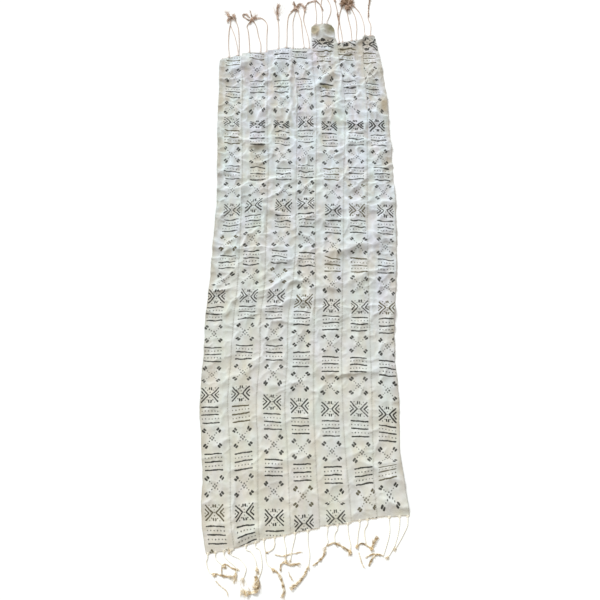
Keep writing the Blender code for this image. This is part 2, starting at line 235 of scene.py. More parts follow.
def corner_number(column, row, seed):
    """A repeatable number from 0 to 1 for each corner of a grid."""
    mixed = column.astype(np.int64) * COLUMN_MIX ^ row.astype(np.int64) * ROW_MIX ^ (seed + 11) * SEED_MIX
    mixed &= LOW_BITS
    mixed = ((mixed ^ mixed >> 13) * BIT_MIX) & LOW_BITS
    return ((mixed ^ mixed >> 16) & 0xFFFF) / 65535.0


def eased(share):
    """0 to 1 with a level start and end."""
    share = np.clip(share, 0.0, 1.0)
    return share**3 * (share * (share * 6 - 15) + 10)


def rotated(x, y, angle):
    """x and y turned by an angle."""
    return x * np.cos(angle) - y * np.sin(angle), x * np.sin(angle) + y * np.cos(angle)


def turned(x, y, size, seed):
    """Places counted in cells of a size in metres, on a grid that is turned by seed."""
    x, y = rotated(x, y, 0.7 + 1.3 * seed)
    u, v = x / size, y / size
    return u, v, np.floor(u), np.floor(v)


def rolling(x, y, size, seed):
    """Smooth lumps and hollows from about -1 to 1 that are about size metres across."""
    u, v, column, row = turned(x, y, size, seed)
    right, up = eased(u - column), eased(v - row)

    def slope(next_column, next_row):
        angle = 2 * pi * corner_number(column + next_column, row + next_row, seed)
        return np.cos(angle) * (u - column - next_column) + np.sin(angle) * (v - row - next_row)

    low = slope(0, 0) * (1 - right) + slope(1, 0) * right
    high = slope(0, 1) * (1 - right) + slope(1, 1) * right
    return 1.5 * (low * (1 - up) + high * up)


def unevenness(x, y, size, seed):
    """The same from 0 to 1."""
    return np.clip(0.5 + 0.6 * rolling(x, y, size, seed), 0.0, 1.0)


print("noise at two points:", np.round(unevenness(np.array((0.0, 0.1)), np.array((0.0, 0.1)), 0.03, 1), 3))

# %% [markdown]
# ## Folds
#
# The cloth was folded away and shaken out, so its upper half is full of soft ridges. They are
# listed: each is a line on the floor with a height and a half width. A real fold is
# steeper on one side, wanders a little and is never equally high, so the line is bent by noise
# and each side gets its own width. Where folds meet, a cubic mean blends them without a step.
# The last rows of the table are narrow pleats that were pressed into the cloth.

# %% The main folds
Fold = namedtuple("Fold", "x_from y_from x_to y_to height half_width")
FOLDS = table(Fold, (
    (-280, 970, -160, 1050, 12, 55),
    (-140, 920, -70, 1060, 11, 26),
    (-40, 1030, -40, 700, 7.5, 16),
    (140, 970, 60, 900, 10, 17),
    (140, 970, 230, 920, 9, 17),
    (50, 1050, 120, 990, 8, 15),
    (150, 1020, 240, 1070, 8, 16),
    (100, 1200, 100, 1140, 8.5, 40),
    (280, 1120, 310, 1080, 7, 26),
    (230, 890, 280, 830, 8.5, 22),
    (260, 770, 350, 760, 8.5, 22),
    (-280, 840, -210, 790, 6, 30),
    (-130, 830, -170, 740, 11, 22),
    (50, 780, 170, 790, 6, 30),
    (-90, 700, 0, 620, 9.5, 24),
    (-240, 650, -130, 620, 11, 22),
    (-200, 590, -150, 510, 9.5, 22),
    (160, 600, 210, 670, 8, 22),
    (190, 590, 170, 490, 9, 20),
    (300, 610, 360, 650, 8.5, 20),
    (280, 510, 360, 540, 8.5, 20),
    (-320, 520, -240, 490, 7, 22),
    (-150, 460, -30, 500, 9.5, 22),
    (-280, 430, -180, 440, 8.5, 20),
    (-120, 400, 0, 440, 8.5, 24),
    (10, 440, 80, 480, 8.5, 22),
    (90, 420, 110, 360, 11, 34),
    (190, 430, 260, 490, 9.5, 26),
    (240, 370, 350, 380, 9.5, 20),
    (-150, 380, -80, 330, 11, 22),
    (170, 360, 200, 280, 7, 26),
    (-220, 210, -160, 280, 10, 20),
    (-330, 200, -60, 200, 6, 13),
    (120, 180, 250, 210, 12, 24),
    (270, 260, 340, 230, 8.5, 22),
    (180, 70, 300, 120, 9.5, 22),
    (70, 90, 130, 30, 9, 20),
    (-150, 30, -50, 80, 12, 22),
    (-50, 80, 20, 80, 8.5, 20),
    (-320, 40, -250, 40, 8, 20),
    (-140, -40, 40, 10, 7, 20),
    (140, -30, 280, -20, 7, 20),
    (-90, -70, 10, -100, 6, 22),
    (300, -70, 330, -140, 8, 22),
    (-10, -120, 0, -210, 6.5, 28),
    (80, -270, 280, -260, 8, 22),
    (-270, -300, -190, -250, 6, 30),
    (-100, -310, 30, -290, 6, 30),
    (-310, -380, -250, -360, 5.5, 32),
    (-290, -500, -240, -480, 5.5, 32),
    (-120, -570, 50, -520, 5.5, 34),
    (160, -530, 240, -510, 6.5, 30),
    (210, -550, 340, -620, 9, 28),
    (-220, -600, -210, -780, 5, 30),
    (-40, -600, -30, -740, 5, 30),
    (260, -660, 340, -690, 8, 26),
    (-200, -800, -140, -750, 7, 22),
    (150, 980, 258, 878, 6.5, 8.5),
    (52, 1065, 122, 975, 7, 8),
    (128, 972, 185, 1018, 6.5, 8),
    (-22, 960, -20, 740, 5, 8),
))
print("folds:", len(FOLDS))

# %% Height of the folds
WANDER = 0.012
STEEP_SIDE, GENTLE_SIDE = 0.38, 0.78
CREST_POWER = 1.1
LEVEL_SHARE, FADING_SHARE = 0.35, 0.15


def wandering(value, x, y, seed):
    """A coordinate that two sizes of noise push aside."""
    return value + WANDER * rolling(x, y, 0.06, seed) + 0.3 * WANDER * rolling(x, y, 0.024, seed + 2)


def fold_height(x, y):
    """Height that the main folds lift the cloth to at each point."""
    bent_x, bent_y = wandering(x, x, y, 3), wandering(y, x, y, 4)
    blended = np.zeros_like(x)
    for number, fold in enumerate(FOLDS):
        run_x, run_y = fold.x_to - fold.x_from, fold.y_to - fold.y_from
        length = sqrt(run_x**2 + run_y**2)
        along = ((bent_x - fold.x_from) * run_x + (bent_y - fold.y_from) * run_y) / length
        aside = ((bent_x - fold.x_from) * run_y - (bent_y - fold.y_from) * run_x) / length
        past_end = np.maximum(np.abs(along - length / 2) - LEVEL_SHARE * length, 0.0)
        steep_right = number % 3 == 0
        width = np.where((aside > 0) == steep_right, STEEP_SIDE, GENTLE_SIDE) * fold.half_width
        fading = FADING_SHARE * length + 0.7 * fold.half_width
        drop = np.hypot(aside / width, past_end / fading) ** CREST_POWER
        height = fold.height * (0.75 + 0.5 * unevenness(along, 0.0, 0.05, number))
        blended += (height * np.exp(-drop)) ** 3
    return np.cbrt(blended)


print("crest of the first fold, mm:", np.round(1000 * fold_height(np.array((-0.22,)), np.array((1.01,))), 1))

# %% [markdown]
# ## Crumples and seams
#
# Between the folds the cotton is crumpled: soft facets that meet in narrow raised creases, some
# sharp and some worn away. Scattered points make such a net. Where the nearest and the second
# nearest point are equally far, there is a crease. Two sizes of net are bent by noise and faded
# in patches, then laid over low rolling lumps. They are strong in the upper half and faint near
# the lower end, which was smoothed out.
#
# A sewn seam pulls its edges down into a shallow groove, and the tight thread gathers the cloth
# into small puckers on both sides. The outer edges aren't sewn, so they lift here and there.

# %% Creases between scattered points
def creased(x, y, size, width, seed):
    """Raised narrow creases from 0 to 1, faded in patches, and the hollows between them."""
    bent_x = x + 0.22 * size * rolling(x, y, 0.7 * size, seed + 30)
    bent_y = y + 0.22 * size * rolling(x, y, 0.7 * size, seed + 31)
    u, v, column, row = turned(bent_x, bent_y, size, seed)
    nearest, second = np.full(x.shape, 9.0), np.full(x.shape, 9.0)
    for beside in (-1, 0, 1):
        for beyond in (-1, 0, 1):
            point_u = column + beside + 0.1 + 0.8 * corner_number(column + beside, row + beyond, seed)
            point_v = row + beyond + 0.1 + 0.8 * corner_number(column + beside, row + beyond, seed + 50)
            away = np.hypot(u - point_u, v - point_v)
            second = np.minimum(second, np.maximum(nearest, away))
            nearest = np.minimum(nearest, away)
    faded = np.clip(0.5 + 1.6 * rolling(x, y, 1.1 * size, seed + 33), 0.0, 1.0)
    return np.exp(-(((second - nearest) / width) ** 1.1)) * (0.15 + 0.95 * faded) + 0.7 * (nearest - 0.4)


print("crease at one point:", np.round(creased(np.array((0.03,)), np.array((0.02,)), 0.05, 0.2, 1), 2))

# %% Height of the underside
# A lump has a height, a size and a seed. A crease has a width too, as a share of its size.
LUMPS = ((0.0050, 0.12, 21), (0.0038, 0.055, 22), (0.0013, 0.027, 24))
CREASES = ((0.0050, 0.085, 0.17, 7), (0.0033, 0.040, 0.22, 9))
LYING_LIFT = 0.0022
GROOVE_DEPTH, GROOVE_WIDTH = 0.0005, 0.0050
PUCKER_HEIGHT, PUCKER_PITCH, PUCKER_REACH = 0.0008, 0.014, 0.013
FLUTTER, FLUTTER_LENGTH, FLUTTER_REACH = 0.0035, 0.045, 0.012
PRESSED_FLAT, TALLEST = 0.001, 0.0195
CALM_UP_TO, CRUMPLES_WITHIN = -0.6, 0.85
END_SETTLES, END_REACH = 0.8, 0.022


def crumpling(y):
    """How crumpled the cloth is along its length."""
    return 0.50 + 0.50 * eased((y - CALM_UP_TO) / CRUMPLES_WITHIN)


def lying_height(x, y):
    """Height of the underside away from the seams, as if there were no floor."""
    lumps = sum(height * rolling(x, y, size, seed) for height, size, seed in LUMPS)
    creases = sum(height * creased(x, y, size, width, seed) for height, size, width, seed in CREASES)
    return LYING_LIFT + fold_height(x, y) + crumpling(y) * (lumps + creases)


def from_near_end(x, y):
    """Distance from the cut end that lies nearest to the viewer."""
    corners = []
    for strip, ends in zip(STRIPS, STRIP_ENDS):
        corners.append((edge_line(strip - 1, ends.near_left), ends.near_left))
        corners.append((edge_line(strip, ends.near_right), ends.near_right))
    xs, ys = np.array(sorted(corners), dtype=float).T
    return np.maximum(y - np.interp(x, xs, ys), 0.0)


def sewn_height(x, y, to_seam, to_edge):
    """The same with the seams' grooves and puckers and the flutter of the outer edges."""
    groove = GROOVE_DEPTH * np.exp(-((to_seam / GROOVE_WIDTH) ** 2))
    phase = 2 * pi * (y / PUCKER_PITCH + 2.2 * rolling(x, y, 0.05, 31))
    pucker = PUCKER_HEIGHT * np.sin(phase) * np.exp(-((to_seam / PUCKER_REACH) ** 2))
    pucker = pucker * unevenness(x, y, 0.07, 33)
    flutter = FLUTTER * rolling(y, 0.0, FLUTTER_LENGTH, 35) * np.exp(-to_edge / FLUTTER_REACH)
    free = lying_height(x, y) - groove + pucker + flutter * crumpling(y)
    free = 0.5 * (free + np.sqrt(free**2 + PRESSED_FLAT**2)) - 0.1 * PRESSED_FLAT
    settled = 1.0 - END_SETTLES * np.exp(-((from_near_end(x, y) / END_REACH) ** 2))
    return TALLEST * np.tanh(free * settled / TALLEST)


print("crumpling at the near and far ends:", np.round(crumpling(np.array((-0.8, 1.0))), 2))

# %% [markdown]
# ## Where the print falls
#
# The print repeats every 366 mm: a chevron block, bars, a cross, bars, a cross, and so on. It was
# put on by hand, strip by strip, so no two strips agree. The table gives where each repeat's
# chevron sits along its strip, and at what share of the repeat its four other blocks follow.
# A second table gives how far the column of blocks is from the strip's left edge, and a third
# how much the bars lean. From these every point gets two numbers, u across the column and v
# along the print, kept in a UV map. The pattern itself can then be drawn straight and even.

# %% The repeats of the print, from the far end of each strip
REPEAT = 0.366
CHEVRON_HALF = 0.029
BLOCK_PLACES = (0.065, 0.139, 0.213, 0.287)
EVEN = (178, 380, 582, 784)
Repeat = namedtuple("Repeat", "along bars_1 cross_2 bars_3 cross_4 squash", defaults=metres((*EVEN, 1000)))
PRINT_REPEATS = [table(Repeat, rows) for rows in (
    (
        (1086, 192, 389, 603, 811), (726, *EVEN, 780), (350, 185, 393, 615, 829),
        (12, 186, 391, 603, 808), (-335,), (-706,), (-1072,),
    ),
    (
        (1124, 187, 372, 569, 761), (718, 191, 410, 625, 836, 660), (368, 178, 383, 593, 801),
        (13, 166, 382, 589, 795), (-330,), (-704,), (-1070,),
    ),
    (
        (1124, 187, 372, 569, 761), (718, 181, 404, 623, 831, 740), (367,), (14, 159, 355, 549, 746),
        (-358,), (-720,), (-1086,),
    ),
    (
        (1136, 187, 372, 569, 761), (730, 183, 400, 621, 819), (375,), (-7, 166, 367, 570, 770),
        (-371,), (-736,), (-1102,),
    ),
    (
        (1465,), (1102, 160, 367, 591, 777, 1000), (712, *EVEN, 800), (346,), (-21,),
        (-381, 184, 400, 618, 835), (-722,), (-1088,),
    ),
    (
        (1121, 187, 372, 569, 761), (715, *EVEN, 840), (346,), (-26,), (-381,), (-747,),
    ),
    (
        (1468,), (1102, 180, 372, 565, 755, 1220), (712,), (343,), (-31,), (-399, 167, 377, 486, 689),
        (-765,),
    ),
)]
print("repeats per strip:", [len(rows) for rows in PRINT_REPEATS])

# %% How the column of blocks wanders and leans
# Each pair has a place along the cloth and how far the column's middle is from the left edge.
PRINT_COLUMNS = metres((
    ((726, 57), (350, 60), (90, 58), (40, 31), (-340, 34), (-710, 43)),
    ((718, 62), (430, 60), (370, 46), (-330, 44), (-700, 45)),
    ((718, 57), (370, 62), (14, 46), (-360, 54), (-720, 51)),
    ((730, 35), (375, 38), (-7, 48), (-370, 50), (-740, 44)),
    ((1100, 46), (710, 50), (346, 67), (-20, 59), (-380, 56), (-720, 53)),
    ((1060, 32), (810, 18), (715, 44), (346, 52), (-26, 64), (-380, 54)),
    ((1100, 18), (885, 24), (712, 39), (343, 68), (-30, 64), (-600, 46)),
))
# Each pair has a place along the cloth and the slope of the bars there.
PRINT_LEANS = metres((
    ((660, -100), (510, -30), (145, 50), (-200, 0), (-550, 60), (-750, 0)),
    ((900, 0), (650, 100), (500, 0), (305, 120), (100, 0), (-250, 0), (-400, 140), (-740, 150),
     (-790, 400)),
    ((900, 0), (660, -120), (305, -50), (155, -100), (-100, 0), (-570, -50), (-700, 0)),
    ((500, 0), (-433, -20), (-700, 50)),
    ((500, 0), (280, -100), (137, -60), (-100, 0)),
    ((500, 0), (280, -50), (137, -50), (-100, 0), (-440, -70), (-583, 140)),
    ((880, -100), (500, 0), (275, -100), (100, -50), (-100, 0), (-243, -100), (-460, -150), (-577, 200)),
))
PRINTED_UP_TO, UNPRINTED = 1.135, 0.1
GATHERED = 0.0065
BUNCHED_STRIPS = (5, 6, 7)
BUNCHED_FROM, BUNCHED_WITHIN = 1.03, 0.04
BUNCHED, SPREAD_BY = 0.0035, 0.30


def between(rows, y):
    """The second column of a table at each y, straight between its rows."""
    table = np.array(rows)[::-1]
    return np.interp(y, table[:, 0], table[:, 1])


def print_marks(strip):
    """Every block of a strip: its place along the cloth and its place in the even print."""
    repeats = PRINT_REPEATS[strip - 1]
    marks = []
    for number, (here, following) in enumerate(zip(repeats, repeats[1:])):
        drawn = here.along - following.along
        for half in (-CHEVRON_HALF, CHEVRON_HALF) if number else (0.0,):
            marks.append((here.along - here.squash * half, REPEAT * number + half))
        for share, place in zip(here[1:], BLOCK_PLACES):
            marks.append((here.along - share * drawn, REPEAT * number + place))
    marks.append((repeats[-1].along, REPEAT * (len(repeats) - 1)))
    return marks


def print_place(strip, x, y):
    """u and v of the even print at points of a strip, in metres."""
    column = edge_line(strip - 1, y) + between(PRINT_COLUMNS[strip - 1], y)
    across = x - column
    level = y - between(PRINT_LEANS[strip - 1], y) * across
    gathered = GATHERED * (crumpling(y) - 0.35)
    level = level + gathered * rolling(x, y, 0.031, 61)
    across = across + 0.7 * gathered * rolling(x, y, 0.027, 63)
    if strip in BUNCHED_STRIPS:
        bunched = eased((y - BUNCHED_FROM) / BUNCHED_WITHIN)
        level = level + BUNCHED * bunched * rolling(x, y, 0.013, 65)
        across = across * (1.0 - SPREAD_BY * bunched) + BUNCHED * bunched * rolling(x, y, 0.013, 66)
    across = np.where(y > PRINTED_UP_TO, UNPRINTED, across)
    return across, between(print_marks(strip), level) + 10 * REPEAT * strip


print("blocks on strip 1:", len(print_marks(1)))

# %% [markdown]
# ## Weaving the strips
#
# A strip is a grid with a point about every 3 mm, which is fine enough for the small crumples. Its
# two faces lie one cloth's thickness apart and are closed along the rim, so the cut ends show the
# real thickness from the side. The grid needs three UV maps: the print, the weave in metres
# along warp and weft, and a map that holds the distance from the nearest long side and how far
# a point stands above or below its surroundings. By it the material paints a bluish highlight on
# the crests and tan shade into the hollows.

# %% Points of a strip
STRIP_COLUMNS = 30
ROW_STEP = 0.0033
CLOTH_THICKNESS = 0.0014
WOVEN_WIDTH = 0.10
EDGE_WAVE = 0.0016
NEAR_WAVE, FAR_WAVE = 0.003, 0.002
TAB_STRIP, TAB_DRAWN_IN = 5, 0.010
TAB_RIGHT_FROM, TAB_LEFT_FROM = 1.10, 1.12
CREST_REACH, CREST_HEIGHT = 5, 0.0016
FAR_AWAY = 1.0


def corner_inset(from_end, radius):
    """How far a round corner draws the side in."""
    into = np.clip(radius - from_end, 0.0, radius)
    return radius - np.sqrt(radius**2 - into**2)


def edge_wave(y, seed):
    """How far an outer edge waves to the right."""
    return EDGE_WAVE * (rolling(y, 0.0, 0.06, seed) + 0.5 * rolling(y, 0.0, 0.016, seed + 1))


def strip_points(strip, across, y, inset):
    """x and height of points of a strip, and their distance to its nearest long side."""
    left = edge_line(strip - 1, y) + SEAM_GAP / 2 + inset
    right = edge_line(strip, y) - SEAM_GAP / 2 - inset
    first, last = strip == STRIPS[0], strip == STRIPS[-1]
    if first:
        left = left + edge_wave(y, 41)
    if last:
        right = right + edge_wave(y, 43)
    if strip == TAB_STRIP:
        right = right - TAB_DRAWN_IN * eased((y - TAB_RIGHT_FROM) / 0.05)
        left = left - 0.2 * TAB_DRAWN_IN * eased((y - TAB_LEFT_FROM) / 0.04)
    x = left + across * (right - left)
    from_left, from_right = x - left, right - x
    to_seam = np.minimum(FAR_AWAY if first else from_left, FAR_AWAY if last else from_right)
    to_edge = np.minimum(from_left if first else FAR_AWAY, from_right if last else FAR_AWAY)
    return x, sewn_height(x, y, to_seam, to_edge), np.minimum(from_left, from_right)


print("columns of points on a strip:", STRIP_COLUMNS + 1)

# %% Faces and named objects
def quads(grid):
    """Quads between the neighbouring points of a grid of point numbers."""
    return np.stack((grid[:-1, :-1], grid[:-1, 1:], grid[1:, 1:], grid[1:, :-1]), -1).reshape(-1, 4)


def add_object(name, points, faces, uv_maps=()):
    """Makes a named mesh object, moved to the frame's origin."""
    mesh = bpy.data.meshes.new(name)
    mesh.from_pydata((points - LAYOUT_MIDDLE).tolist(), [], faces)
    corner_points = np.zeros(len(mesh.loops), dtype=np.int32)
    mesh.loops.foreach_get("vertex_index", corner_points)
    for title, first, second in uv_maps:
        both_faces = np.tile(np.stack((first, second), -1).reshape(-1, 2), (2, 1))
        layer = mesh.uv_layers.new(name=title)
        layer.uv.foreach_set("vector", both_faces[corner_points].astype(np.float32).ravel())
    mesh.shade_smooth()
    mesh.set_sharp_from_angle(angle=radians(55.0))
    made = bpy.data.objects.new(name, mesh)
    scene.collection.objects.link(made)
    return made


def averaged(grid, reach):
    """A grid with each point averaged over its neighbours up to reach rows and columns away."""
    for _ in range(2):
        padded = np.pad(grid, ((reach, reach), (0, 0)), mode="edge")
        grid = (sum(padded[step : step + len(grid)] for step in range(2 * reach + 1)) / (2 * reach + 1)).T
    return grid


print("mesh helpers ready")

# %% One strip as a mesh
def weave_strip(strip):
    """One woven strip with its folds, as a closed sheet, and its length over them."""
    ends = STRIP_ENDS[strip - 1]
    across = np.linspace(0.0, 1.0, STRIP_COLUMNS + 1)
    near = ends.near_left + across * (ends.near_right - ends.near_left)
    far = ends.far_left + across * (ends.far_right - ends.far_left)
    near = near + NEAR_WAVE * (unevenness(across, 0.0, 0.3, strip) - 0.5)
    far = far - FAR_WAVE * unevenness(across, 0.0, 0.3, strip + 8)
    rows, columns = round(float((far - near).mean()) / ROW_STEP) + 1, STRIP_COLUMNS + 1
    y = near + np.linspace(0.0, 1.0, rows)[:, None] * (far - near)
    x, height, to_side = strip_points(strip, across, y, corner_inset(far - y, ends.far_corner))
    under = np.stack((x, y, height), -1)
    top = np.stack((x, y, height + CLOTH_THICKNESS), -1)
    grid = np.arange(rows * columns).reshape(rows, columns)
    rim = np.concatenate((grid[0, :-1], grid[:-1, -1], grid[-1, :0:-1], grid[::-1, 0]))
    rim_quads = quads(np.stack((rim, rim + grid.size), -1))
    faces = np.concatenate((quads(grid), quads(grid + grid.size)[:, ::-1], rim_quads))
    steps = np.linalg.norm(np.diff(under, axis=0), axis=-1)
    run = np.concatenate((np.zeros((1, columns)), np.cumsum(steps, axis=0)))
    # How far a point stands above or below its surroundings; the material paints highlight and shade by it.
    crest = np.clip((height - averaged(height, CREST_REACH)) / CREST_HEIGHT, -1.0, 1.0)
    uv_maps = (
        ("print", *print_place(strip, x, y)),
        ("weave", across * WOVEN_WIDTH + 0 * y, run),
        ("sides", to_side, crest),
    )
    points = np.concatenate((top.reshape(-1, 3), under.reshape(-1, 3)))
    return add_object(f"woven_strip_{strip}", points, faces.tolist(), uv_maps), float(run[-1].mean())


strips, strip_lengths = zip(*(weave_strip(strip) for strip in STRIPS))
print("strip lengths over the folds, m:", [round(length, 3) for length in strip_lengths])
print("points on a strip:", len(strips[0].data.vertices))

# %% [markdown]
# ## Shader maths as Python
#
# A printed pattern is arithmetic on u and v, and in nodes that arithmetic is hard to read. So a
# small class wraps a node's output and gives it Python's operators: a line such as
# `1 - abs(u) / width` then adds its Math nodes by itself. Every other node comes from one method.

# %% A node output that can be calculated with
def fill(node, values):
    """Gives a node's sockets their numbers, or links them to wires."""
    for place, value in values.items():
        if isinstance(value, Wire):
            value.tree.links.new(value.socket, node.inputs[place])
        else:
            node.inputs[place].default_value = value


def both_ways(operation):
    """Two methods that add a Math node: one with the wire as its first term, one as its second."""

    def straight(self, other):
        return self.maths(operation, other)

    def reflected(self, other):
        return self.node("Math", {"operation": operation}, {0: other, 1: self})

    return straight, reflected


class Wire:
    """One output of a material's nodes, used like a number."""

    def __init__(self, tree, socket=None):
        self.tree = tree
        self.socket = socket

    def node(self, kind, settings, values, output=0):
        """Adds a node: its settings first, then what its sockets hold or take."""
        made = self.tree.nodes.new("ShaderNode" + kind)
        for name, setting in settings.items():
            setattr(made, name, setting)
        fill(made, values)
        return Wire(self.tree, made.outputs[output])

    def maths(self, operation, *others, clamp=False):
        """Adds a Math node, with this wire as its first term."""
        settings = {"operation": operation, "use_clamp": clamp}
        return self.node("Math", settings, dict(enumerate((self, *others))))

    def vector(self, operation, *others, output=0):
        """Adds a Vector Math node, with this wire as its first term."""
        return self.node("VectorMath", {"operation": operation}, dict(enumerate((self, *others))), output)

    __add__, __radd__ = both_ways("ADD")
    __sub__, __rsub__ = both_ways("SUBTRACT")
    __mul__, __rmul__ = both_ways("MULTIPLY")
    __truediv__, __rtruediv__ = both_ways("DIVIDE")
    __mod__, __rmod__ = both_ways("FLOORED_MODULO")
    __pow__, __rpow__ = both_ways("POWER")
    __gt__, __lt__ = both_ways("GREATER_THAN")

    def __abs__(self):
        return self.maths("ABSOLUTE")

    def most(self, other):
        return self.maths("MAXIMUM", other)

    def least(self, other):
        return self.maths("MINIMUM", other)

    def floor(self):
        return self.maths("FLOOR")

    def sine(self):
        return self.maths("SINE")

    def held(self):
        """The value kept between 0 and 1."""
        return self.maths("ADD", 0.0, clamp=True)

    def part(self, axis):
        """The x, y or z of a vector."""
        return self.node("SeparateXYZ", {}, {0: self}, "XYZ".index(axis))

    def joined(self, y, z=0.0):
        """A vector of this value and two others."""
        return self.node("CombineXYZ", {}, {0: self, 1: y, 2: z})

    def shades(self, here, there):
        """A colour between two others: here at 0, there at 1."""
        return self.node("Mix", {"data_type": "RGBA"}, {0: self, 6: here, 7: there}, 2)

    def grain(self, size, detail=2.0, rough=0.5, output=0):
        """Noise with lumps of a size in metres, laid out along this vector."""
        values = {"Vector": self, "Scale": 1.0 / size, "Detail": detail, "Roughness": rough}
        return self.node("TexNoise", {}, values, output)


def blank_material(name):
    """A material, its Principled shader, and a first wire to build on."""
    material = bpy.data.materials.new(name)
    material.use_nodes = True
    return material, material.node_tree.nodes["Principled BSDF"], Wire(material.node_tree)


print("operators:", "+ - * / % ** > < abs()")

# %% [markdown]
# ## Drawing the blocks
#
# The dyer paints mud onto the cloth with a stick or stamp, in short strokes and dots. Both are
# shapes of one kind here: all points within some distance of a short line, or of a spot. Each
# block is the same left and right, and up and down, so it is drawn for one quarter only: abs()
# folds the other three onto it. All block sizes are in millimetres.

# %% Strokes and spots
BAR_GAP, BAR_REACH, BAR_HALF = 25.0, 27.5, 2.45
DOT_PITCH, DOTS_REACH, OUTSIDE = 10.8, 32.0, 40.0


def stroke(place, start, end, half_width):
    """How deep a point lies inside a straight stroke, in millimetres."""
    run = (end[0] - start[0], end[1] - start[1], 0.0)
    length_squared = run[0] ** 2 + run[1] ** 2
    from_start = place.vector("SUBTRACT", (*start, 0.0))
    reach = from_start.vector("DOT_PRODUCT", run, output=1)
    share = reach.maths("MULTIPLY", 1.0 / length_squared, clamp=True)
    foot = share.vector("MULTIPLY", run)
    return half_width - from_start.vector("DISTANCE", foot, output=1)


def spot(place, centre, radius):
    """The same for a round spot."""
    return radius - place.vector("DISTANCE", (*centre, 0.0), output=1)


def deepest(shapes):
    """Several shapes as one."""
    first, *others = shapes
    for other in others:
        first = first.most(other)
    return first


def chevron_block(across, along):
    """Two nested chevrons that point at each other, with dots round them."""
    place = across.joined(along)
    strokes = deepest(stroke(place, *row) for row in (
        ((6.0, 0.5), (28.0, 22.5), 2.4),
        ((18.5, 0.8), (29.0, 11.0), 2.2),
        ((3.8, 18.0), (3.4, 23.0), 2.6),
    ))
    spots = deepest(spot(place, *row) for row in (
        ((29.5, 0.0), 2.4),
        ((9.5, 16.0), 2.3),
        ((16.5, 23.0), 2.3),
        ((0.0, 8.5), 2.2),
        ((0.0, 0.0), 2.2),
    ))
    return strokes, spots


def bar_block(across, along):
    """Three bars with two rows of dots between them."""
    place = across.joined(along.least(abs(along - BAR_GAP)))
    bar = stroke(place, (0.0, 0.0), (BAR_REACH, 0.0), BAR_HALF)
    row = across % DOT_PITCH - DOT_PITCH / 2
    inside = (across < DOTS_REACH) * OUTSIDE - OUTSIDE
    return bar, spot(row.joined(along - BAR_GAP / 2), (0.0, 0.0), 2.4) + inside


def cross_block(across, along):
    """A cross of dotted arms that end in pairs of strokes, round a diamond of four dots."""
    arm = ((across + along) * sqrt(0.5)).joined(abs(across - along) * sqrt(0.5))
    place = across.joined(along)
    strokes = stroke(arm, (32.0, 3.8), (37.0, 4.0), 3.5)
    spots = deepest(spot(*row) for row in (
        (arm, (13.5, 0.0), 2.4),
        (arm, (22.0, 0.0), 2.4),
        (place, (5.4, 0.0), 3.2),
        (place, (0.0, 5.6), 3.2),
    ))
    return strokes, spots


print("blocks: chevrons, bars, crosses")

# %% The whole print, with its unevenness
BLOCK_STARTS = (0.031, 0.101, 0.176, 0.250)
CHEVRONS_FROM = 0.034
BLOCK_SEED = 0.13


def blurred(place, size, reach, base):
    """Places pushed aside by noise with lumps of a size, up to half of reach."""
    push = place.grain(size, 1.0, output=1)
    push = push.vector("SUBTRACT", (0.5, 0.5, 0.5))
    return push.vector("MULTIPLY_ADD", (reach, reach, 0.0), base)


def mud_print(wire, print_map, weave_map, heavy, uneven):
    """Ink from 0 to 1, and a random number for each block."""
    shift = blurred(weave_map, 0.0028, 0.0022, blurred(weave_map, 0.030, 0.0045, print_map))
    across = abs(shift.part("X")) * 1000.0
    level = shift.part("Y")
    number = ((level + CHEVRONS_FROM) / REPEAT).floor()
    level = level - number * REPEAT
    for start in BLOCK_STARTS:
        number = number + (level > start) * BLOCK_SEED
    chance = wire.node("TexWhiteNoise", {"noise_dimensions": "1D"}, {"W": number})
    bars_1, cross_2, bars_3, cross_4 = (abs(level - place) for place in BLOCK_PLACES)
    chevrons = chevron_block(across, abs(level) * 1000.0)
    bars = bar_block(across, bars_1.least(bars_3) * 1000.0)
    crosses = cross_block(across, cross_2.least(cross_4) * 1000.0)
    strokes, spots = (deepest(shapes) for shapes in zip(chevrons, bars, crosses))
    pressure = (weave_map.grain(0.011, 2.0) - 0.5) * uneven
    softness = uneven * 0.9 - 0.25 + heavy * 0.6
    painted = ((strokes + 0.24 * uneven + pressure * 2.4 + heavy * 1.6) / softness).held()
    dotted = ((spots + 0.3 + pressure * 2.4) / 1.3).held() * 0.84
    soaked = 1.22 - 0.16 * uneven + 0.5 * pressure + 0.2 * heavy
    ink = painted.most(dotted) * (0.86 + 0.14 * chance) * soaked
    return ink.held(), chance


print("print repeats every", REPEAT, "m")
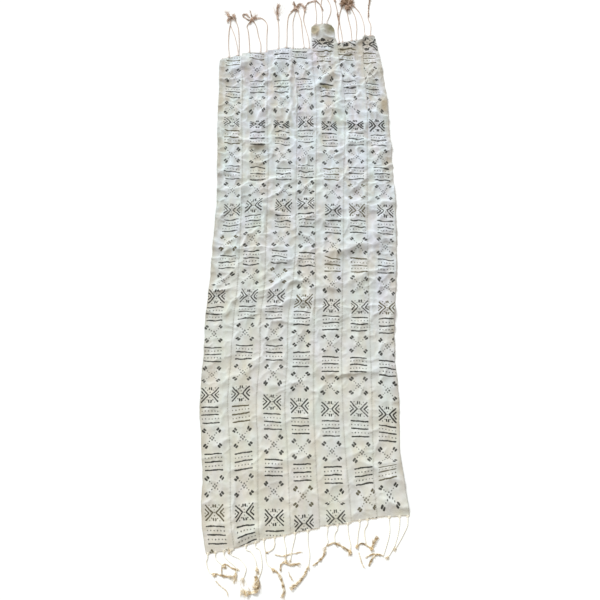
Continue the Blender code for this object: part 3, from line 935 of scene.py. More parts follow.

# %% [markdown]
# ## The cotton
#
# Handspun cotton isn't one white. The far half has aged to a cool grey white, the near end is
# creamier, the outer edges and a few patches are stained tan or olive, and the whole is faintly
# blotched by the mud wash. Some of the tan and olive patches are painted shade: at the tab's
# corners, at the top right and beside folds. The crests get a painted bluish highlight and the
# hollows a painted tan shade. Close up there is the plain weave, warp over weft and under the
# next, with yarns of uneven thickness. The weave is too fine for the mesh, so it is a bump.

# %% Stains, tints and painted shade
Stain = namedtuple("Stain", "x y half_x half_y strength")
# Partly tan stains, partly painted tan shade: at the tab's corners, at the top right and beside folds.
TAN_STAIN_AND_SHADE_PATCHES = table(Stain, (
    (284, 1105, 50, 44, 0.45),
    (190, 1072, 62, 40, 0.6),
    (64, 1172, 24, 34, 1.5),
    (100, 1180, 50, 60, 0.45),
    (110, 1115, 55, 30, 0.7),
    (335, 960, 16, 70, 0.5),
    (300, 885, 30, 18, 0.45),
    (340, 805, 34, 50, 1),
    (345, 560, 24, 40, 0.6),
    (-160, 620, 45, 16, 0.5),
    (-150, 950, 30, 16, 0.4),
    (-320, 980, 18, 50, 0.5),
    (-322, 830, 14, 60, 0.45),
    (-318, 560, 18, 90, 0.45),
    (130, -15, 30, 20, 0.25),
    (-100, -620, 60, 40, 0.2),
))
HEAVY_INK = table(Stain, (
    (110, 1110, 60, 40, 1.2),
    (285, 1100, 50, 45, 0.8),
    (190, 1080, 50, 34, 1.2),
    (320, 720, 40, 30, 0.7),
    (-80, 718, 170, 26, 1.1),
    (180, 712, 150, 28, 0.9),
    (20, 420, 40, 60, 0.4),
    (330, -440, 40, 60, 0.6),
))
COLD_AREAS = table(Stain, (
    (70, 800, 240, 300, 0.35),
    (-100, 980, 200, 90, 0.3),
    (230, 450, 100, 200, 0.25),
    (310, 80, 50, 200, 0.08),
))
GREEN_AREAS = table(Stain, (
    (-60, 420, 280, 180, 0.22),
    (-260, 300, 110, 500, 0.18),
    (50, -350, 240, 260, 0.08),
))
# Olive stains, and olive painted shade at the tab's corners and beside folds.
OLIVE_STAIN_AND_SHADE_PATCHES = table(Stain, (
    (134, 1186, 28, 32, 1.3),
    (60, 1178, 14, 24, 0.7),
    (290, 1108, 50, 46, 0.12),
    (104, 894, 34, 13, 1),
    (190, 1072, 55, 28, 0.15),
    (-165, 610, 45, 14, 0.35),
    (-325, 640, 18, 35, 0.4),
    (300, 920, 22, 16, 0.4),
    (300, 240, 30, 14, 0.25),
))


def stained(place, marks):
    """Soft uneven patches from 0 to 1 at the listed places."""
    patches = []
    for mark in marks:
        middle = (mark.x - LAYOUT_MIDDLE[0], mark.y - LAYOUT_MIDDLE[1], 0.0)
        away = place.vector("SUBTRACT", middle)
        away = away.vector("MULTIPLY", (1.0 / mark.half_x, 1.0 / mark.half_y, 0.0))
        patches.append((1.25 - away.vector("LENGTH", output=1)).held() * mark.strength)
    return deepest(patches)


print("tan and olive stains:", len(TAN_STAIN_AND_SHADE_PATCHES) + len(OLIVE_STAIN_AND_SHADE_PATCHES))

# %% Colours of the cotton
YARN_PITCH = 0.0013
WEAVE_HEIGHT, SLUB_HEIGHT, CREASE_HEIGHT = 0.00022, 0.0004, 0.0004
OUTER_STRIPS_FROM = 0.272
SOILED_REACH, SEAM_REACH = 0.022, 0.0032
CREASE_SIZE = 0.017
COOL_COTTON = (0.592, 0.613, 0.624, 1.0)
CREAM_COTTON = (0.650, 0.626, 0.545, 1.0)
PALE_COTTON = (0.722, 0.742, 0.730, 1.0)
# A painted highlight for the crests and a painted shade for the hollows:
PAINTED_CREST_HIGHLIGHT = (0.800, 0.835, 0.860, 1.0)
PAINTED_HOLLOW_SHADE = (0.430, 0.395, 0.335, 1.0)
WARM_PATCH = (0.560, 0.500, 0.400, 1.0)
COLD_PATCH = (0.655, 0.695, 0.785, 1.0)
GREEN_PATCH = (0.585, 0.655, 0.600, 1.0)
# Tan and olive of the stains and of the painted shade at the tab's corners and beside folds:
TAN_STAIN_AND_SHADE = (0.420, 0.355, 0.255, 1.0)
OLIVE_STAIN_AND_SHADE = (0.270, 0.248, 0.165, 1.0)
MUD_INK = (0.022, 0.021, 0.017, 1.0)
BROWN_INK = (0.150, 0.125, 0.065, 1.0)
GAP_SHADE = (0.36, 0.34, 0.29, 1.0)
# Painted shade of the gap along each seam:
SEAM_LINE_SHADE = (0.22, 0.21, 0.17, 1.0)


def weave_relief(across, along):
    """Height of a plain weave, 0 to 1, from yarn numbers across and along."""
    over = (across.floor() + along.floor()) % 2.0
    warp = ((across % 1.0) * pi).sine() * (0.45 + 0.55 * over)
    weft = ((along % 1.0) * pi).sine() * (1.0 - 0.55 * over)
    return warp.most(weft)


def layered(colour, layers):
    """A colour under several others, each with its amount."""
    for amount, tint in layers:
        colour = amount.shades(colour, tint)
    return colour


def above(grain, level, gain):
    """The lumps of a noise above a level, from 0 to 1."""
    return ((grain - level) * gain).held()


def aged_cotton(place, sides, crumpled):
    """The colour of the cotton without its print, with painted highlight and shade on its crests and
    hollows.
    """
    drawn_out = place.vector("MULTIPLY", (1.0, 0.4, 1.0))
    blotches = (drawn_out.grain(0.075, 3.0, 0.6) - 0.5) * 1.6
    towards_near = ((0.13 - place.part("Y") - 0.45 * place.part("X")) / 1.05 + blotches).held()
    crest = sides.part("Y") * crumpled
    cotton = layered(towards_near.shades(COOL_COTTON, CREAM_COTTON), (
        (stained(place, COLD_AREAS), COLD_PATCH),
        (stained(place, GREEN_AREAS), GREEN_PATCH),
        (above(place.grain(0.030, 3.0, 0.6), 0.48, 2.6) * 0.70, PALE_COTTON),
        # Painted light: a bluish highlight on the crests and a tan shade in the hollows.
        (crest.held() * 0.45, PAINTED_CREST_HIGHLIGHT),
        ((0.0 - crest).held() * 0.40, PAINTED_HOLLOW_SHADE),
    ))
    tint = drawn_out.grain(0.060, 4.0, 0.65, output=1)
    amount = 0.08 + 0.21 * crumpled
    tint = tint.vector("MULTIPLY_ADD", amount, 1.0 - amount * 0.5)
    cotton = cotton.vector("MULTIPLY", tint)
    warmth = (drawn_out.grain(0.075, 4.0, 0.65) - 0.51) * (1.0 + 3.0 * crumpled)
    outer_strip = abs(place.part("X")) > OUTER_STRIPS_FROM
    outer_edge = outer_strip * (1.0 - sides.part("X") / SOILED_REACH).held()
    soiled = outer_edge * above(place.grain(0.090, 2.0), 0.35, 2.6)
    # Tan stains and painted tan shade, with the soiled outer edges; then olive stains and painted shade.
    tan = stained(place, TAN_STAIN_AND_SHADE_PATCHES).most(soiled * 0.80) * (0.45 + 1.1 * place.grain(0.018, 3.0))
    olive = stained(place, OLIVE_STAIN_AND_SHADE_PATCHES) * (0.5 + place.grain(0.014, 3.0))
    return layered(cotton, (
        (warmth.held(), WARM_PATCH),
        (((0.0 - warmth) * (crumpled * 1.2 - 0.35)).held(), COLD_PATCH),
        (tan.held(), TAN_STAIN_AND_SHADE),
        (olive.held(), OLIVE_STAIN_AND_SHADE),
    ))


print("colours of the cotton ready")

# %% Woven cotton with its print
def woven_cotton(name):
    """Handwoven cotton printed with mud dye."""
    material, shader, wire = blank_material(name)
    maps = (wire.node("UVMap", {"uv_map": title}, {}) for title in ("print", "weave", "sides"))
    print_map, weave_map, sides = maps
    place = wire.node("TexCoord", {}, {}, 3)
    crumpled = 0.35 + 0.65 * (place.part("Y") / 0.9 + 0.35).held()
    ink, chance = mud_print(wire, print_map, weave_map, stained(place, HEAVY_INK), 0.75 + 0.70 * crumpled)
    cotton = aged_cotton(place, sides, crumpled)

    yarn_across = weave_map.part("X") / YARN_PITCH + (weave_map.grain(0.012, 2.0) - 0.5) * 1.6
    yarn_along = weave_map.part("Y") / YARN_PITCH + (weave_map.grain(0.015, 2.0) - 0.5) * 1.6
    relief = weave_relief(yarn_across, yarn_along)
    mud = ((chance > 0.90) * 0.6).shades(MUD_INK, BROWN_INK)
    # Painted shade along the seams' gap: strong at the near end, faint where the cloth is crumpled.
    seam_shade = (0.98 - 0.96 * crumpled) * (0.08 + 0.55 * weave_map.grain(0.020, 2.0))
    colour = layered(cotton, (
        (((0.55 - relief) * 1.2).held() * 0.35, GAP_SHADE),
        (ink * (0.86 + 0.14 * relief), mud),
        (((1.0 - sides.part("X") / SEAM_REACH).held() * seam_shade).held(), SEAM_LINE_SHADE),
    ))

    curl = weave_map.grain(0.020, 1.0, output=1)
    curled = curl.vector("MULTIPLY_ADD", (0.008, 0.008, 0.008), weave_map)
    values = {"Vector": curled, "Scale": 1.0 / CREASE_SIZE}
    to_crease = wire.node("TexVoronoi", {"feature": "DISTANCE_TO_EDGE"}, values)
    fine_crease = (1.0 - to_crease / 0.16).held() * (place.grain(0.035, 1.0) * 2.4 - 0.7).held()
    height = relief * WEAVE_HEIGHT + weave_map.grain(0.0045, 3.0, 0.6) * SLUB_HEIGHT
    height = height + fine_crease * crumpled * CREASE_HEIGHT
    bump = wire.node("Bump", {}, {"Strength": 1.0, "Distance": 1.0, "Height": height})
    fill(shader, {
        "Base Color": colour,
        "Normal": bump,
        "Roughness": 0.97 - 0.10 * ink,
        "Specular IOR Level": 0.12,
        "Sheen Weight": 0.10,
        "Sheen Roughness": 0.5,
    })
    return material


cotton_cloth = woven_cotton("woven_cotton")
for woven in strips:
    woven.data.materials.append(cotton_cloth)
print("nodes in the cotton:", len(cotton_cloth.node_tree.nodes))

# %% [markdown]
# ## Yarn
#
# Stitches, cords, knots and frayed ends are all yarn, so one helper makes every tube: a ring of
# points round each point of a path. A spool collects many tubes and hands them over as a single
# mesh, with a tone for each point that the material turns from pale to tan.

# %% Tubes and the spool that collects them
def unit(vectors):
    """Vectors of length 1."""
    return vectors / np.maximum(np.linalg.norm(vectors, axis=-1, keepdims=True), 1e-9)


class Spool:
    """Collects yarns as tubes, then winds them off as one object."""

    def __init__(self):
        self.points, self.faces, self.tones, self.count = [], [], [], 0

    def tube(self, path, radius, sides, tone):
        """Adds a tube round a path. Radius and tone are one number or one for each point."""
        path = np.asarray(path, dtype=float)
        steps = len(path)
        along = unit(np.gradient(path, axis=0))
        aside = unit(np.cross(along, (0.0, 0.03, 1.0)))
        lift = np.cross(aside, along)
        angles = np.arange(sides) * 2 * pi / sides
        ring = np.cos(angles)[None, :, None] * aside[:, None] + np.sin(angles)[None, :, None] * lift[:, None]
        radii = np.broadcast_to(radius, (steps,))[:, None, None]
        self.points.append((path[:, None] + radii * ring).reshape(-1, 3))
        self.tones.append(np.repeat(np.broadcast_to(tone, (steps,)), sides))
        grid = self.count + np.arange(steps * sides).reshape(steps, sides)
        self.faces += quads(np.column_stack((grid, grid[:, 0]))).tolist()
        self.faces += [grid[0, ::-1].tolist(), grid[-1].tolist()]
        self.count += steps * sides

    def wind_off(self, name, material):
        """The collected yarns as one object."""
        made = add_object(name, np.concatenate(self.points), self.faces)
        tone = made.data.attributes.new("tone", "FLOAT", "POINT")
        tone.data.foreach_set("value", np.concatenate(self.tones).astype(np.float32))
        made.data.materials.append(material)
        return made


print("tube helper ready")

# %% [markdown]
# ## Cotton yarn and cord
#
# The yarn is the same cotton, unprinted. Where it was handled and knotted it has turned tan, and
# the frayed tips are the darkest. The tone of each point sets that, and a little noise keeps
# neighbouring fibres apart.

# %% Yarn material
FAR_YARN = ((0.840, 0.775, 0.750, 1.0), (0.640, 0.475, 0.375, 1.0), (0.310, 0.205, 0.130, 1.0))
NEAR_YARN = ((0.955, 0.915, 0.810, 1.0), (0.640, 0.470, 0.255, 1.0), (0.260, 0.190, 0.115, 1.0))
STITCH_YARN = ((0.720, 0.715, 0.670, 1.0), (0.600, 0.580, 0.520, 1.0), (0.400, 0.380, 0.330, 1.0))


def cotton_yarn(name, pale, tan, dark):
    """Loose or twisted cotton yarn, pale at tone 0, tan at 0.5 and dark at 1."""
    material, shader, wire = blank_material(name)
    place = wire.node("TexCoord", {}, {}, 3)
    tone = wire.node("Attribute", {"attribute_name": "tone"}, {}, 2)
    uneven = (place.grain(0.006, 3.0) - 0.5) * 0.35
    tone = tone + uneven * (0.3 + tone)
    colour = (tone * 2.0).held().shades(pale, tan)
    colour = (tone * 2.0 - 1.0).held().shades(colour, dark)
    fibres = place.grain(0.0009, 3.0, 0.65)
    bump = wire.node("Bump", {}, {"Strength": 0.5, "Distance": 0.0004, "Height": fibres})
    fill(shader, {"Base Color": colour, "Normal": bump, "Roughness": 0.95, "Specular IOR Level": 0.1})
    return material


far_cotton = cotton_yarn("twisted_cotton_far", *FAR_YARN)
near_cotton = cotton_yarn("twisted_cotton_near", *NEAR_YARN)
stitch_cotton = cotton_yarn("stitching_cotton", *STITCH_YARN)
print("yarn materials:", far_cotton.name, near_cotton.name, stitch_cotton.name)

# %% [markdown]
# ## Sewing the seams
#
# The strips are joined by hand with an overcast stitch: the thread comes up on one side, crosses
# the seam on a slant and goes down on the other. Each stitch is a short arc of thread that lies
# on the cloth, with its ends sunk into it. Spacing and slant vary as they do by hand.

# %% Overcast stitches along each seam
STITCH_PITCH, STITCH_HALF = 0.0075, 0.0024
STITCH_RISE, STITCH_DIP = 0.0006, 0.0005
THREAD_RADIUS = 0.00042
SEAM_STARTS, SEAM_STOPS = 0.004, 0.006


def sew_seam(line):
    """The stitches of one seam between strips line and line + 1."""
    chance = np.random.default_rng(100 + line)
    near = max(STRIP_ENDS[line - 1].near_right, STRIP_ENDS[line].near_left) + SEAM_STARTS
    far = min(STRIP_ENDS[line - 1].far_right, STRIP_ENDS[line].far_left) - SEAM_STOPS
    places = near + np.cumsum(STITCH_PITCH * chance.uniform(0.8, 1.2, int((far - near) / STITCH_PITCH)))
    places = places[places < far][:, None]
    share = np.linspace(-1.0, 1.0, 6)
    ys = places + chance.uniform(0.0018, 0.0030, places.shape) * share
    seam = edge_line(line, ys)
    xs = seam + STITCH_HALF * chance.uniform(0.8, 1.3, places.shape) * share
    ground = sewn_height(xs, ys, np.abs(xs - seam), FAR_AWAY) + CLOTH_THICKNESS
    level = 0.5 * (ground + ground.max(axis=1, keepdims=True))
    zs = level + STITCH_RISE * (1 - share**2) - STITCH_DIP * share**4
    spool = Spool()
    for stitch in np.stack((xs, ys, zs), -1):
        spool.tube(stitch, THREAD_RADIUS, 4, 0.6 * chance.random())
    return spool.wind_off(f"seam_stitches_{line}", stitch_cotton)
seams = [sew_seam(line) for line in STRIPS[:-1]]
print("faces of the stitches on a seam:", len(seams[0].data.polygons))

# %% [markdown]
# ## Twisting the fringe
#
# At both ends bundles of warp yarn are twisted into two-ply cords, and each cord, or several
# together, ends in an overhand knot whose tip frays into a tuft. On the floor they lie in easy
# curves. Each route is a few points on the floor. A smooth curve joins them, and two plies wind
# round it. A run of cord that has come undone is a bundle of single yarns along such a route.

# %% Routes of the cords
Cord = namedtuple("Cord", "strip across route knot tuft tone")
FAR_CORDS = table(Cord, (
    (1, 0.41, ((-300, 1105), (-300, 1170), (-295, 1220), (-305, 1250)), 13, 40, 0.4),
    (1, 0.83, ((-255, 1095), (-260, 1175), (-270, 1215), (-280, 1245)), 11, 22, 0.4),
    (1, 0.80, ((-262, 1085), (-275, 1145), (-295, 1200)), 0, 0, 0.2),
    (2, 0.28, ((-215, 1135), (-220, 1175), (-225, 1195), (-215, 1215), (-205, 1230)), 12, 45, 0.5),
    (2, 0.71, ((-165, 1105), (-175, 1145), (-185, 1195), (-200, 1225)), 9, 20, 0.5),
    (2, 0.94, ((-140, 1145), (-140, 1205), (-160, 1235), (-180, 1235), (-198, 1230)), 0, 0, 0.3),
    (3, 0.45, ((-90, 1180), (-95, 1235)), 10, 75, 0.2),
    (3, 0.80, ((-55, 1135), (-55, 1180), (-50, 1245), (-35, 1270), (-20, 1285)), 13, 40, 0.3),
    (4, 0.09, ((-30, 1170), (-30, 1220), (-20, 1270)), 0, 12, 0.1),
    (4, 0.62, ((10, 1155), (5, 1220), (-5, 1260), (-10, 1280)), 9, 25, 0.3),
    (4, 0.88, ((35, 1135), (25, 1180), (15, 1230), (20, 1275)), 9, 30, 0.3),
    (5, 0.21, ((70, 1260), (65, 1310), (70, 1345)), 8, 16, 0.2),
    (5, 0.46, ((95, 1260), (90, 1305), (95, 1350)), 8, 16, 0.2),
    (5, 0.67, ((130, 1265), (130, 1305), (115, 1345)), 8, 16, 0.2),
    (6, 0.06, ((160, 1170), (165, 1230), (160, 1270), (150, 1330)), 9, 25, 0.5),
    (6, 0.20, ((175, 1160), (167, 1225), (172, 1270), (185, 1310)), 9, 25, 0.5),
    (6, 0.57, ((215, 1180), (205, 1240), (200, 1290)), 15, 60, 0.5),
    (6, 0.75, ((240, 1190), (235, 1245), (215, 1300)), 12, 50, 0.4),
    (7, 0.19, ((270, 1210), (255, 1265), (228, 1305)), 10, 30, 0.3),
    (7, 0.67, ((300, 1200), (290, 1240), (295, 1290), (300, 1335)), 9, 25, 0.5),
))
NEAR_CORDS = table(Cord, (
    (1, 0.06, ((-295, -850), (-285, -875), (-270, -885)), 8, 12, 0.1),
    (1, 0.34, ((-260, -845), (-240, -860)), 9, 15, 0.1),
    (1, 0.65, ((-225, -845), (-200, -865), (-200, -885)), 7, 30, 0.1),
    (1, 0.90, ((-190, -840), (-170, -865), (-175, -890)), 0, 30, 0.05),
    (2, 0.47, ((-155, -820), (-140, -845), (-135, -870)), 10, 20, 0.1),
    (2, 0.84, ((-128, -815), (-120, -850), (-122, -875), (-135, -905)), 9, 20, 0.1),
    (3, 0.14, ((-110, -820), (-105, -850), (-85, -870)), 9, 14, 0.2),
    (3, 0.48, ((-80, -795), (-85, -810), (-100, -820)), 0, 10, 0.6),
    (3, 0.79, ((-45, -810), (-45, -830), (-45, -850)), 8, 0, 0.2),
    (4, 0.14, ((-20, -790), (-25, -810), (-30, -840)), 0, 12, 0.1),
    (4, 0.59, ((25, -795), (30, -830), (25, -865)), 8, 0, 0.1),
    (5, 0.24, ((85, -775), (88, -790), (80, -805)), 0, 0, 0.05),
    (5, 0.55, ((110, -770), (110, -795)), 0, 0, 0.05),
    (5, 0.88, ((155, -775), (160, -800), (158, -820)), 10, 15, 0.3),
    (6, 0.31, ((185, -765), (180, -805)), 9, 0, 0.3),
    (6, 0.61, ((205, -760), (210, -795), (225, -810)), 11, 0, 0.4),
    (7, 0.36, ((285, -765), (270, -810), (262, -830)), 0, 0, 0.05),
    (7, 0.68, ((315, -755), (300, -800), (280, -830)), 0, 20, 0.05),
    (7, 0.93, ((342, -745), (325, -775), (305, -805)), 0, 20, 0.05),
))
print("cords:", len(FAR_CORDS) + len(NEAR_CORDS))

# %% Routes of what has come undone
Frayed = namedtuple("Frayed", "strip route width yarns tone")
FAR_FRAYED = table(Frayed, (
    (1, ((-310, 1215), (-300, 1235), (-275, 1240)), 18, 30, 0.75),
    (2, ((-205, 1230), (-222, 1230), (-240, 1245), (-243, 1255), (-230, 1258), (-215, 1240)), 8, 26, 0.75),
    (2, ((-200, 1230), (-210, 1260), (-215, 1280)), 6, 12, 0.7),
    (2, ((-215, 1205), (-203, 1230), (-185, 1236)), 10, 26, 0.95),
    (3, ((-96, 1255), (-98, 1280), (-92, 1312)), 11, 30, 0.8),
    (3, ((-20, 1285), (0, 1312), (22, 1290)), 10, 30, 0.75),
    (3, ((-40, 1270), (-22, 1290), (-28, 1325)), 10, 24, 0.8),
    (4, ((20, 1290), (35, 1318), (70, 1330)), 6, 16, 0.6),
    (4, ((68, 1330), (84, 1312), (100, 1276)), 5, 20, 0.95),
    (6, ((165, 1205), (163, 1235), (160, 1265)), 7, 26, 0.95),
    (6, ((175, 1300), (195, 1325), (225, 1315)), 32, 84, 0.95),
    (6, ((200, 1275), (215, 1310), (225, 1335)), 24, 52, 0.9),
    (7, ((292, 1245), (294, 1290), (300, 1330)), 6, 20, 0.85),
))
NEAR_FRAYED = table(Frayed, (
    (1, ((-275, -880), (-255, -884), (-230, -890), (-205, -890)), 8, 24, 0.55),
    (1, ((-245, -882), (-245, -865), (-235, -855), (-215, -865), (-190, -873)), 5, 18, 0.5),
    (1, ((-200, -872), (-203, -890), (-206, -908)), 7, 18, 0.5),
    (1, ((-265, -900), (-245, -918), (-230, -928), (-222, -945)), 4, 9, 0.25),
    (1, ((-228, -806), (-222, -818), (-226, -826)), 10, 16, 0.4),
    (2, ((-138, -888), (-133, -908), (-136, -928)), 18, 46, 0.6),
    (2, ((-130, -925), (-150, -935), (-185, -932)), 16, 50, 0.6),
    (3, ((-85, -868), (-66, -884), (-55, -908), (-50, -932), (-56, -950)), 9, 34, 0.65),
    (3, ((-80, -828), (-55, -832), (-30, -826), (8, -820)), 4, 12, 0.4),
    (3, ((-45, -828), (-45, -850)), 5, 14, 0.6),
    (3, ((-62, -874), (-60, -858), (-45, -848), (-34, -856), (2, -853)), 7, 26, 0.6),
    (4, ((25, -862), (12, -888), (-8, -908), (-30, -925)), 9, 34, 0.6),
    (4, ((-36, -876), (-30, -890), (-20, -902)), 4, 10, 0.5),
    (5, ((40, -860), (60, -846), (75, -830), (80, -806)), 7, 26, 0.6),
    (5, ((85, -803), (105, -795), (125, -800), (142, -810), (155, -820)), 8, 26, 0.58),
    (6, ((180, -808), (192, -796), (208, -800), (225, -810)), 5, 16, 0.7),
    (6, ((186, -822), (190, -840), (200, -866)), 5, 14, 0.45),
    (6, ((225, -812), (236, -790), (248, -776)), 10, 26, 0.65),
    (7, ((262, -830), (240, -828), (228, -838), (215, -860)), 6, 22, 0.6),
    (7, ((205, -838), (230, -826), (255, -832)), 5, 14, 0.45),
))
print("frayed runs:", len(FAR_FRAYED) + len(NEAR_FRAYED))

# %% [markdown]
# A route becomes a curve with a Catmull-Rom spline, which passes through each of its points. The
# points are then set at equal steps, so that the twist of the plies is even.

# %% Curves and twisted cords
CORD_RADIUS = 0.0016
PLY_RADIUS = 0.0009
TWIST_PITCH = 0.011
CORD_STEP = 0.0024
SETTLES_IN = 0.035
FRAYED_RADIUS, TUFT_RADIUS = 0.00065, 0.0005


def flowing(route, step):
    """Points at equal steps along a smooth curve through a route on the floor."""
    stops = np.array(route, dtype=float)
    stops = np.concatenate((2 * stops[:1] - stops[1:2], stops, 2 * stops[-1:] - stops[-2:-1]))
    share = np.linspace(0.0, 1.0, 24, endpoint=False)[:, None]
    pieces = []
    for a, b, c, d in zip(stops, stops[1:], stops[2:], stops[3:]):
        turn, bend = 2 * a - 5 * b + 4 * c - d, 3 * b - a - 3 * c + d
        pieces.append(0.5 * (2 * b + (c - a) * share + turn * share**2 + bend * share**3))
    curve = np.concatenate(pieces + [stops[-2:-1]])
    run = np.concatenate(((0.0,), np.cumsum(np.linalg.norm(np.diff(curve, axis=0), axis=1))))
    evenly = np.linspace(0.0, run[-1], max(int(run[-1] / step), 3) + 1)
    return np.stack([np.interp(evenly, run, curve[:, axis]) for axis in (0, 1)], -1), evenly


def beside(path):
    """Unit vectors across a path on the floor."""
    along = unit(np.gradient(path, axis=0))
    return np.stack((-along[:, 1], along[:, 0]), -1)


def twist_cord(spool, path, run, heights, tones, chance):
    """Two plies that wind round a path."""
    aside = beside(path)
    turn = 2 * pi * run / TWIST_PITCH + 6 * chance.random()
    for ply in (0.0, pi):
        offset = (CORD_RADIUS - PLY_RADIUS) * np.cos(turn + ply)
        rise = (CORD_RADIUS - PLY_RADIUS) * np.sin(turn + ply)
        points = np.column_stack((path + offset[:, None] * aside, heights + CORD_RADIUS + rise))
        spool.tube(points, PLY_RADIUS, 6, tones)


print("curve and cord helpers ready")

# %% Frayed runs, knots and tufts
def fray(spool, frayed, chance):
    """A loosely twisted hank of yarns along a route, thick and thin by turns, with splayed ends."""
    path, run = flowing(frayed.route, 0.003)
    aside = beside(path)
    lumpy = 0.22 + 0.95 * unevenness(run, frayed.width, 0.011, len(path))
    knobs = unevenness(run, frayed.width, 0.009, 2 * len(path)) ** 1.5
    for _ in range(frayed.yarns):
        first = int(len(path) * 0.6 * chance.random() ** 1.5)
        last = min(first + max(int(len(path) * chance.uniform(0.35, 1.0)), 5), len(path))
        if last - first < 4:
            first, last = 0, len(path)
        piece = slice(first, last)
        share = np.linspace(0.0, 1.0, last - first)
        radius = 0.5 * frayed.width * lumpy[piece] * chance.uniform(0.35, 1.0)
        turn = 2 * pi * (run[piece] / chance.uniform(0.016, 0.030) + chance.random())
        splay = frayed.width * chance.normal(0.0, 0.40) * share**3
        level = np.minimum(0.7 * radius, 0.006) * (1.0 + np.sin(turn)) + 0.0006
        flat = path[piece] + (radius * np.cos(turn) + splay)[:, None] * aside[piece]
        tones = frayed.tone * (0.30 + 1.3 * knobs[piece]) * chance.uniform(0.4, 1.5)
        radii = FRAYED_RADIUS * (1 - 0.4 * share**3)
        spool.tube(np.column_stack((flat, level)), radii, 3, np.clip(tones, 0.0, 1.0))


def knot(spool, centre, heading, size, tone):
    """An overhand knot, pulled tight."""
    t = np.linspace(0.0, 2 * pi, 42)
    loop_x = (np.sin(t) + 2 * np.sin(2 * t)) / 6
    loop_y = (np.cos(t) - 2 * np.cos(2 * t)) / 6
    along, aside = np.array(heading), np.array((-heading[1], heading[0]))
    flat = centre + size * (1.15 * loop_y[:, None] * along + 0.85 * loop_x[:, None] * aside)
    points = np.column_stack((flat, size * (0.34 - 0.16 * np.sin(3 * t))))
    spool.tube(points, 0.17 * size, 7, tone)


def tuft(spool, centre, heading, length, yarns, tone, chance):
    """Frayed yarn ends that fan out past a knot."""
    for _ in range(yarns):
        lean = chance.normal(0.0, 0.33)
        reach = length * chance.uniform(0.45, 1.0)
        share = np.linspace(0.0, 1.0, 6)
        curl = 0.5 * np.sin(share * chance.uniform(1.0, 5.0)) * chance.normal(0.0, 0.6)
        turn = lean * (0.4 + 0.9 * share) + curl
        steps = np.stack(rotated(*heading, turn), -1)
        flat = centre + np.cumsum(steps, axis=0) * reach / 6
        level = chance.uniform(0.0006, 0.0045) * (1 - 0.7 * share)
        radii = TUFT_RADIUS * (1 - 0.6 * share)
        spool.tube(np.column_stack((flat, level)), radii, 3, tone * chance.uniform(0.4, 1.5))


print("fray, knot and tuft helpers ready")

# %% [markdown]
# ## The warp between cloth and cords
#
# The last weft has no hem, so the warp yarns come out of the cut edge side by side. Those near a
# cord run into it. The rest were cut short and stand as a fine ragged edge.

# %% Fringe of one end of a strip
WARP_PITCH = 0.0017
GATHER_REACH = 0.0075
TUCKED_IN, STRAIGHT_OUT = 0.002, 0.014
WARP_RADIUS = 0.0006
TUFT_YARNS = 26


def cut_end(strip, across, far):
    """x, y and height of a strip's cut end at places across it."""
    ends = STRIP_ENDS[strip - 1]
    first, last = (ends.far_left, ends.far_right) if far else (ends.near_left, ends.near_right)
    across = np.asarray(across, dtype=float)
    y = first + across * (last - first)
    inset = ends.far_corner * eased(np.abs(2 * across - 1) * 4 - 3) if far else 0.0
    x, height, _ = strip_points(strip, across, y, inset)
    return x, y, height


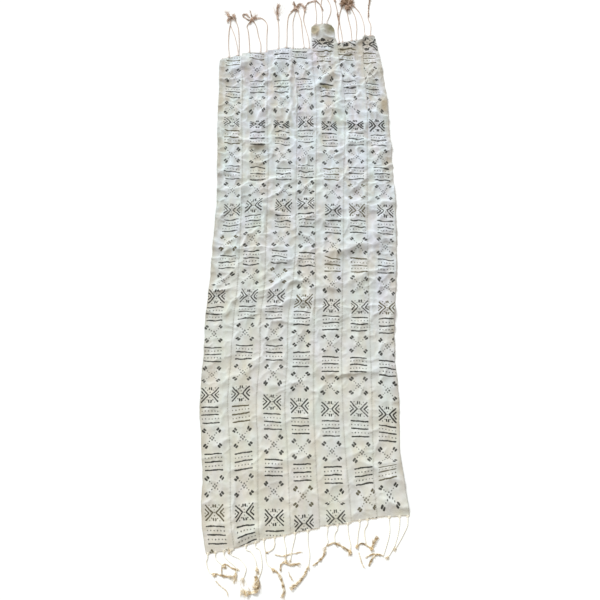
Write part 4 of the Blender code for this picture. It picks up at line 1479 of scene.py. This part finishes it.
def tie_fringe(strip, far):
    """Every yarn, cord, knot and tuft at one end of a strip."""
    chance = np.random.default_rng(1000 * far + strip)
    outward = 1.0 if far else -1.0
    spool = Spool()
    roots = []
    for cord in (FAR_CORDS if far else NEAR_CORDS):
        if cord.strip != strip:
            continue
        x, y, height = (float(value[0]) for value in cut_end(strip, [cord.across], far))
        route = ((x, y - TUCKED_IN * outward), (x, y + STRAIGHT_OUT * outward)) + cord.route
        path, run = flowing(route, CORD_STEP)
        heights = (height + 0.0002) * (1 - eased(run / SETTLES_IN))
        mottled = 0.12 * (unevenness(run, 0.0, 0.02, strip) - 0.5)
        shades = cord.tone * (0.35 + 0.65 * run / run[-1]) + mottled
        shades = shades * 1.3 + 0.25 * run / run[-1] if far else 0.35 * shades
        twist_cord(spool, path, run, heights, np.clip(shades, 0.0, 1.0), chance)
        roots.append((x, path, run))
        heading = unit(path[-1] - path[-4])
        if cord.knot:
            knot(spool, path[-1], heading, cord.knot, 0.30 + 0.4 * cord.tone)
        if cord.tuft:
            tuft(spool, path[-1], heading, cord.tuft, TUFT_YARNS, 0.25 + 0.6 * cord.tone, chance)
    for frayed in (FAR_FRAYED if far else NEAR_FRAYED):
        if frayed.strip == strip:
            fray(spool, frayed, chance)
    loose_warp(spool, strip, far, roots, chance)
    place = "far" if far else "near"
    return spool.wind_off(f"{place}_warp_fringe_{strip}", far_cotton if far else near_cotton)


def loose_warp(spool, strip, far, roots, chance):
    """Warp yarns out of the cut edge: into a cord where one is near, else cut short."""
    outward = 1.0 if far else -1.0
    share = np.linspace(0.0, 1.0, 5)
    for x, y, height in zip(*cut_end(strip, np.arange(0.006, 0.994, WARP_PITCH / WOVEN_WIDTH), far)):
        nearest = min(roots, key=lambda root: abs(root[0] - x), default=None)
        if nearest is not None and abs(nearest[0] - x) < GATHER_REACH:
            goal = nearest[1][int(np.interp(STRAIGHT_OUT, nearest[2], np.arange(len(nearest[2]))))]
            xs = x + (goal[0] - x) * eased(share)
            ys = (y - TUCKED_IN * outward) + (goal[1] - y + TUCKED_IN * outward) * share
            zs = (height + 0.0012) * (1 - 0.35 * share)
        else:
            reach = chance.uniform(0.0025, 0.0075)
            xs = x + chance.normal(0.0, 0.0016) * share**2
            ys = y + outward * (reach * share - 0.0015)
            zs = (height + 0.0008) * (1 - 0.5 * share)
        radii = WARP_RADIUS * (1 - 0.45 * share)
        spool.tube(np.stack((xs, ys, zs), -1), radii, 3, 0.05 + 0.2 * chance.random())


fringes = {(strip, far): tie_fringe(strip, far) for strip in STRIPS for far in (True, False)}
print("faces in the far fringes:", [len(fringes[strip, True].data.polygons) for strip in STRIPS])

# %% [markdown]
# ## Handing the pieces over
#
# Each piece stands for its solids in the frame: a strip for its strip, a fringe for its fringe.
# The pieces ride on the frame's root, and the solids they stand for are hidden.

# %% Riding and replacing
for number, woven in enumerate(strips, 1):
    far_fringe, near_fringe = fringes[number, True], fringes[number, False]
    seam = seams[number - 1 : number]
    for piece in [woven, far_fringe, near_fringe] + seam:
        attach(piece, "root")
    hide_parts(f"strip_{number}")
    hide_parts(f"far_fringe_{number}")
    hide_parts(f"near_fringe_{number}")
    round(strip_lengths[number - 1], 3)
    [far_fringe, near_fringe] + seam
triangles = sum(len(face.vertices) - 2 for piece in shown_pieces() for face in piece.data.polygons)
print("triangles in all:", triangles)
